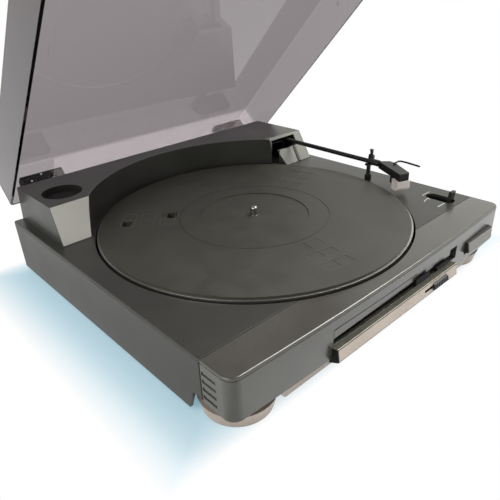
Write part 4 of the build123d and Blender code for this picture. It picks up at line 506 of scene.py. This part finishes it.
def milky_clear():
    """Clear styrene that has turned a little milky."""
    material, tree = empty_material("milky_clear_styrene")
    place = add(tree, "ShaderNodeTexCoord").outputs["Object"]
    cloud = add(tree, "ShaderNodeTexNoise", {
        "Vector": place, "Scale": 1 / (3 * MM), "Detail": 3.0, "Roughness": 0.6,
    }).outputs[0]
    milk = add(tree, "ShaderNodeMix", {
        0: cloud, 6: linear("#f4eae5"), 7: linear("#fdf8f5"),
    }, data_type="RGBA").outputs[2]
    shader = add(tree, "ShaderNodeBsdfPrincipled", {
        "Base Color": milk,
        "Roughness": 0.12,
        "IOR": 1.58,
        "Transmission Weight": 0.35,
    }).outputs[0]
    add(tree, "ShaderNodeOutputMaterial", {"Surface": shader})
    return material


paint_pieces(milky_clear(), "stylus_guard")

# %% [markdown]
# ## A place for new pieces
# The pieces below are thin trims that sit on the solids. Each is a small mesh made with bmesh operators,
# gets its material and rides on the body that carries it. The model's
# own millimetres are turned into the frame's metres by one function.

# %% New pieces
# Places in the model, in millimetres. The frame's middle lies at this y of the model.
FRAME_MIDDLE_Y = 184.13024
PLATTER_AXIS = (-7.8, 164.9)
HALF_WIDTH = 180.0
DECK_TOP = 57.0
BRIDGE_TOP = 90.0
# Metres. Corners nearer to each other than this are one corner.
WELD = 0.00001


def at(x, y, z):
    """A point of the model, in millimetres, as metres in the frame."""
    return Vector((x * MM, (y - FRAME_MIDDLE_Y) * MM, z * MM))


def piece(name, shape, material, body):
    """A finished piece from its mesh, on the body that carries it."""
    mesh = bpy.data.meshes.new(name)
    shape.to_mesh(mesh)
    shape.free()
    mesh.materials.append(material)
    made = bpy.data.objects.new(name, mesh)
    bpy.context.scene.collection.objects.link(made)
    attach(made, body)
    print(name, len(mesh.polygons), "faces")


def bar(shape, middle, size, turn=0.0, round_mm=0.0):
    """Adds a block of that size in millimetres, turned about the upright, with rounded upper edges."""
    place = Matrix.Translation(middle) @ Matrix.Rotation(radians(turn), 4, "Z")
    scale = Matrix.Diagonal((size[0] * MM, size[1] * MM, size[2] * MM, 1.0))
    made = bmesh.ops.create_cube(shape, size=1.0, matrix=place @ scale)
    if round_mm:
        top = max(v.co.z for v in made["verts"])
        corners = {v for v in made["verts"] if v.co.z > top - WELD}
        rim = {e for v in corners for e in v.link_edges if corners.issuperset(e.verts)}
        bmesh.ops.bevel(shape, geom=list(rim), offset=round_mm * MM, offset_type="OFFSET", segments=2,
                        profile=0.5, affect="EDGES", material=-1)


def raise_copy(shape, lift):
    """Turns faces into a thin plate: copies them, lifts the copy, and joins the two with flat-shaded walls."""
    grown = bmesh.ops.extrude_face_region(shape, geom=list(shape.faces), use_keep_orig=True)
    lifted = [v for v in grown["geom"] if isinstance(v, bmesh.types.BMVert)]
    bmesh.ops.translate(shape, verts=lifted, vec=lift)
    bmesh.ops.recalc_face_normals(shape, faces=shape.faces)
    for face in shape.faces:
        face.smooth = False


print("the platter's axis is at", tuple(round(v, 5) for v in at(*PLATTER_AXIS, 0)))

# %% [markdown]
# ## Mat ribs
# Three groups of low ribs cross the mat and make a row of windows in each. The ribs catch the light as fine
# pale lines, painted into their paler rubber as a painted highlight, while the cells between are the same
# rubber as the mat.
# The solid has its cells half a millimetre deep, which would look too dark from a low angle, so a thin skin
# brings their floors up to just below the mat's face. The ribs are narrow bars along the cells' edges.

# %% Mat ribs and cell floors
MAT_TOP = 60.9
RIB_WIDTH = 0.55
RIB_HEIGHT = 0.14
RIB_ROUNDING = 0.05
ROW = 14.6
# Degrees round the platter of the three groups, and millimetres from its axis of the ends of their cells.
windows = (140.0, 20.0, -100.0)
cell_ends = ((78.0, 93.0), (97.95, 111.0), (116.55, 130.05))
# The group, start and side of the two cells that are deep holes in the solid.
holes = ((140.0, 78.0, -1), (140.0, 116.55, 1))
rib_middle = at(*PLATTER_AXIS, MAT_TOP + 0.06)
floor_middle = at(*PLATTER_AXIS, MAT_TOP - 0.3)
ribs = bmesh.new()
floors = bmesh.new()
for turn in windows:
    along = Vector((cos(radians(turn)), sin(radians(turn)), 0.0))
    across = Vector((-along.y, along.x, 0.0))
    for start, end in cell_ends:
        out = along * ((start + end) / 2 * MM)
        for row in (-1, 0, 1):
            spot = rib_middle + out + across * (row * ROW * MM)
            bar(ribs, spot, (end - start, RIB_WIDTH, RIB_HEIGHT), turn, RIB_ROUNDING)
        for edge in (start + 0.3, end - 0.3):
            bar(ribs, rib_middle + along * (edge * MM), (RIB_WIDTH, 29.6, RIB_HEIGHT), turn, RIB_ROUNDING)
        for row in (-1, 1):
            if (turn, start, row) not in holes:
                spot = floor_middle + out + across * (row * ROW / 2 * MM)
                bar(floors, spot, (end - start - 1.4, 13.9, 0.3), turn)
piece("mat_ribs", ribs, rib_highlight_rubber, "platter_body")
piece("mat_cell_floors", floors, mat_rubber, "platter_body")

# %% [markdown]
# ## Tower faces
# The sloping front faces of the two towers have a paler, silvery coat. A thin plate that follows each face
# shows it: the bridge's own faces are copied, those that lie on the slope are kept and drawn in a little
# from their edges, and the rest of the copy is thrown away, so the plate has the cut-outs of the real face.
# They are drawn in without the option for an even rim, which would throw a spike out of a very sharp corner.
# The coat of the right tower, which the arm passes, is painted darker as painted shade, and its edges carry a
# painted highlight.

# %% Tower faces
COAT_THICKNESS = 0.25
slope = Vector((0.0, -33.0, 18.5)).normalized()
foot = at(0, 246.5, DECK_TOP)
silver = moulded("silver_grey_satin_coat", "#a2a29c", "#a9a9a2", grain_mm=0.9, relief_mm=0.06,
                 gloss=(0.55, 0.65), edge_highlight=0.0, dust=0.6)
# The right tower's darker copy of the coat is painted shade.
shaded_silver = moulded("silver_grey_satin_coat_painted_shade", "#7d7e78", "#888983", grain_mm=0.9, relief_mm=0.06,
                      gloss=(0.45, 0.55), edge_highlight=0.6, dust=0.3)
for name, side, finish in (("tower_face_left", -1, silver), ("tower_face_right", 1, shaded_silver)):
    faces = bmesh.new()
    faces.from_mesh(nodes["rear_bridge"].data)
    bmesh.ops.remove_doubles(faces, verts=faces.verts, dist=WELD)
    others = []
    for face in faces.faces:
        middle = face.calc_center_median()
        turned_away = face.normal.dot(slope) < 0.35
        off_slope = abs((middle - foot).dot(slope)) > 1.6 * MM
        if turned_away or off_slope or middle.x * side < 0:
            others.append(face)
    bmesh.ops.delete(faces, geom=others, context="FACES")
    bmesh.ops.dissolve_limit(faces, angle_limit=radians(1), verts=faces.verts, edges=faces.edges)
    rim = bmesh.ops.inset_region(faces, faces=list(faces.faces), thickness=0.6 * MM, use_boundary=True,
                                 use_even_offset=False)
    bmesh.ops.delete(faces, geom=rim["faces"], context="FACES")
    raise_copy(faces, slope * (COAT_THICKNESS * MM))
    piece(name, faces, finish, "case")

# %% [markdown]
# The round wall behind the platter ends in a rolled edge, whose pale line is a painted highlight.
# It is a fine bead: one small square is spun along the wall's arc.

# %% Rolled edge of the round wall
WALL_RADIUS = 157.5
ARC_START = radians(39.8)
ARC = radians(100.4)
HALF_BEAD = 0.22
bead = bmesh.new()
axis = at(*PLATTER_AXIS, BRIDGE_TOP - 0.14)
out = Vector((cos(ARC_START), sin(ARC_START), 0.0))
stand = Matrix.Rotation(ARC_START, 4, "Z") @ Matrix.Rotation(radians(90), 4, "X")
stand = Matrix.Translation(axis + out * (WALL_RADIUS * MM)) @ stand
bmesh.ops.create_grid(bead, x_segments=1, y_segments=1, size=HALF_BEAD * MM, matrix=stand)
bmesh.ops.spin(bead, geom=list(bead.faces) + list(bead.edges) + list(bead.verts), cent=axis, axis=(0, 0, 1),
               angle=ARC, steps=72, use_merge=False, use_duplicate=False)
bmesh.ops.remove_doubles(bead, verts=bead.verts, dist=WELD / 10)
bmesh.ops.recalc_face_normals(bead, faces=bead.faces)
# A paler bead along the wall's top: painted highlight.
rolled_edge = moulded("abs_rolled_edge_painted_highlight", "#55554f", "#63635c", grain_mm=0.4, relief_mm=0.01,
                      gloss=(0.4, 0.5), edge_highlight=0.0)
piece("round_wall_edge", bead, rolled_edge, "case")

# %% [markdown]
# ## Adaptor recess
# The round recess for the centre adaptor is deep and lies in shade; a black cup laid in it is painted shade,
# so that it reads as a dark well. The cup is thin: a circle is filled, extruded upwards at its rim, and given a
# thickness.

# %% Adaptor recess shade
CUP_RADIUS = 19.35
CUP_HEIGHT = 6.6
CUP_WALL = 0.12
recess_middle = at(-142.1, 294.8, 83.15)
cup = bmesh.new()
bmesh.ops.create_circle(cup, cap_ends=True, segments=64, radius=CUP_RADIUS * MM,
                        matrix=Matrix.Translation(recess_middle))
rim = [e for e in cup.edges if e.is_boundary]
grown = bmesh.ops.extrude_edge_only(cup, edges=rim)
raised = [v for v in grown["geom"] if isinstance(v, bmesh.types.BMVert)]
bmesh.ops.translate(cup, verts=raised, vec=(0, 0, CUP_HEIGHT * MM))
bmesh.ops.recalc_face_normals(cup, faces=cup.faces)
bmesh.ops.reverse_faces(cup, faces=cup.faces)
bmesh.ops.solidify(cup, geom=list(cup.faces), thickness=CUP_WALL * MM)
bmesh.ops.recalc_face_normals(cup, faces=cup.faces)
# A black cup in the recess: painted shade.
recess_shade = rubber("black_recess_painted_shade", "#060606", "#0a0a0a", (0.9, 0.95))
piece("adaptor_recess_painted_shade", cup, recess_shade, "case")

# %% [markdown]
# ## Small marks and fasteners
# Beside the cue slot, short white bars show where the lever goes, printed in ink so thin that only their
# colour shows. Each row below is a mark's place, its length and width, and its turn in degrees.

# %% Printed marks
INK = 0.08
# This white serves both the printed marks and the painted highlight along the bar's front edge.
white_print_and_highlight = moulded("white_print_ink_and_painted_highlight", "#bdbdb6", "#cbcbc4", grain_mm=0.3, relief_mm=0.004, gloss=(0.4, 0.5),
              edge_highlight=0.0)
cue_marks = (
    (156.1, 72.1, 14.5, 0.8, 0.0),
    (141.0, 63.2, 11.4, 0.8, 12.0),
    (145.7, 62.4, 4.4, 0.8, 61.0),
    (139.5, 45.2, 13.4, 0.9, 0.0),
)
marks = bmesh.new()
for x, y, length, width, turn in cue_marks:
    bar(marks, at(x, y, DECK_TOP + 0.02), (length, width, INK), turn)
piece("cue_marks", marks, white_print_and_highlight, "case")

# %% [markdown]
# The dark joints between the mouldings are what the eye reads first on a charcoal case. On the real one they
# are gaps some tenths of a millimetre wide and deep, dark with shade and too fine for the picture's pixels, so
# each is drawn as a hair-thin black strip of painted shade that lies on the joint, with the moulding's rounded
# edge beside it as a paler strip of painted highlight.

# %% Joint lines
BOW = 4.2
LINE_HEIGHT = 0.06
DEGREES_PER_RADIAN = 57.3
# The seam on the deck to the left and to the right of the platter: the x of its middle, and its length.
deck_seams = ((-133.6, 88.0), (126.6, 102.0))
dark_lines = bmesh.new()
for side in (-1, 1):
    bar(dark_lines, at(side * (HALF_WIDTH - 0.06), 34.25, 38.4), (0.08, 2.2, 31.0))
for x, length in deck_seams:
    bar(dark_lines, at(x, 34.0, DECK_TOP), (length, 0.8, LINE_HEIGHT))
# The painted shadow line under the panel's edge over the front recess follows the bowed front in six short
# strips, each turned to the bow's slope.
for k in range(6):
    x = -77.0 + 18.0 * k
    behind = BOW * (x / HALF_WIDTH) ** 2
    slant = 2 * BOW * x / HALF_WIDTH ** 2 * DEGREES_PER_RADIAN
    bar(dark_lines, at(x, behind, 45.75), (18.1, 0.3, 0.35), slant)
piece("joint_painted_shade", dark_lines, dull_black, "case")

# Paler strips beside the deck seams: painted highlight of the rounded edges.
pale_lines = bmesh.new()
for x, length in deck_seams:
    bar(pale_lines, at(x, 34.6, DECK_TOP), (length, 0.3, LINE_HEIGHT))
edge_highlight_abs = moulded("abs_edge_painted_highlight", "#5b5b56", "#6a6a64", grain_mm=0.4, relief_mm=0.01, gloss=(0.4, 0.5),
                      edge_highlight=0.0)
piece("joint_edge_painted_highlight", pale_lines, edge_highlight_abs, "case")

# %% [markdown]
# The bar below the panel is moulded in black, and its top is sprayed olive grey up to its front edge, where a
# bright line is a painted highlight. The paint is drawn as a thin plate, made from a copy of the bar's own top:
# of its faces, those that look up and lie higher than all the ledges below the top.

# %% Bar top
TOP_FROM = 29.5
PAINT = 0.06
coat = bmesh.new()
coat.from_mesh(nodes["control_bar"].data)
bmesh.ops.remove_doubles(coat, verts=coat.verts, dist=WELD)
bmesh.ops.recalc_face_normals(coat, faces=coat.faces)
others = [f for f in coat.faces if f.normal.z < 0.9 or f.calc_center_median().z < TOP_FROM * MM]
bmesh.ops.delete(coat, geom=others, context="FACES")
bmesh.ops.dissolve_limit(coat, angle_limit=radians(1), verts=coat.verts, edges=coat.edges)
raise_copy(coat, Vector((0, 0, PAINT * MM)))
piece("bar_top_paint", coat, bar_top, "case")

# A white strip along the bar's front edge: painted highlight.
bar_edge_highlight = bmesh.new()
bar(bar_edge_highlight, at(-0.4, -3.4, 31.0), (172.0, 0.6, 0.16))
piece("bar_edge_painted_highlight", bar_edge_highlight, white_print_and_highlight, "case")

# %% [markdown]
# Each front foot is a wide beige skirt, and the gap above it under the panel lies in shade; a black sleeve
# there is painted shade. The sleeve is one ring of a cone without caps, given a thin wall.

# %% Painted shade above the front feet
SLEEVE_LOW, SLEEVE_HIGH, SLEEVE_HEIGHT, SLEEVE_WALL = 22.2, 21.2, 8.2, 0.4
gap_shade = bmesh.new()
for x in (-148.5, 148.5):
    bmesh.ops.create_cone(gap_shade, cap_ends=False, segments=64, radius1=SLEEVE_LOW * MM, radius2=SLEEVE_HIGH * MM,
                          depth=SLEEVE_HEIGHT * MM, matrix=Matrix.Translation(at(x, 36.0, 16.6)))
bmesh.ops.recalc_face_normals(gap_shade, faces=gap_shade.faces)
bmesh.ops.solidify(gap_shade, geom=list(gap_shade.faces), thickness=SLEEVE_WALL * MM)
bmesh.ops.recalc_face_normals(gap_shade, faces=gap_shade.faces)
# The black sleeve is painted shade.
piece("foot_gap_painted_shade", gap_shade, dull_black, "case")

# %% [markdown]
# Two small black discs sit on the bridge, and two bright screw heads show on each hinge block. The
# heads are placed on the shut lid and then turned about the hinge with it, to the angle of the photograph.

# %% Bridge dots and hinge screws
LID_OPEN = radians(46)
bridge_dots = bmesh.new()
for x, y in ((111.4, 306.2), (130.9, 282.1)):
    bmesh.ops.create_cone(bridge_dots, cap_ends=True, segments=24, radius1=1.1 * MM, radius2=0.9 * MM, depth=0.3 * MM,
                          matrix=Matrix.Translation(at(x, y, BRIDGE_TOP + 0.1)))
piece("bridge_dark_dots", bridge_dots, black_abs, "case")

hinge = at(0, 363.0, 63.0)
lid_turn = Matrix.Translation(hinge) @ Matrix.Rotation(-LID_OPEN, 4, "X") @ Matrix.Translation(-hinge)
face_front = Matrix.Rotation(radians(90), 4, "X")
heads = bmesh.new()
for x, z in ((-134.3, 81.5), (-146.6, 76.4), (107.0, 81.5), (119.0, 76.4)):
    spot = lid_turn @ Matrix.Translation(at(x, 343.1, z)) @ face_front
    bmesh.ops.create_cone(heads, cap_ends=True, segments=20, radius1=1.2 * MM, radius2=0.9 * MM, depth=0.4 * MM,
                          matrix=spot)
piece("hinge_screw_heads", heads, nodes["case_screws"].data.materials[0], "lid")

# %% [markdown]
# ## Last check
# Every solid must carry exactly one finish; the solids that don't are printed.

# %% Finish
undressed = [name for name, solid in nodes.items() if len(solid.data.materials) != 1]
print("without a finish:", undressed)
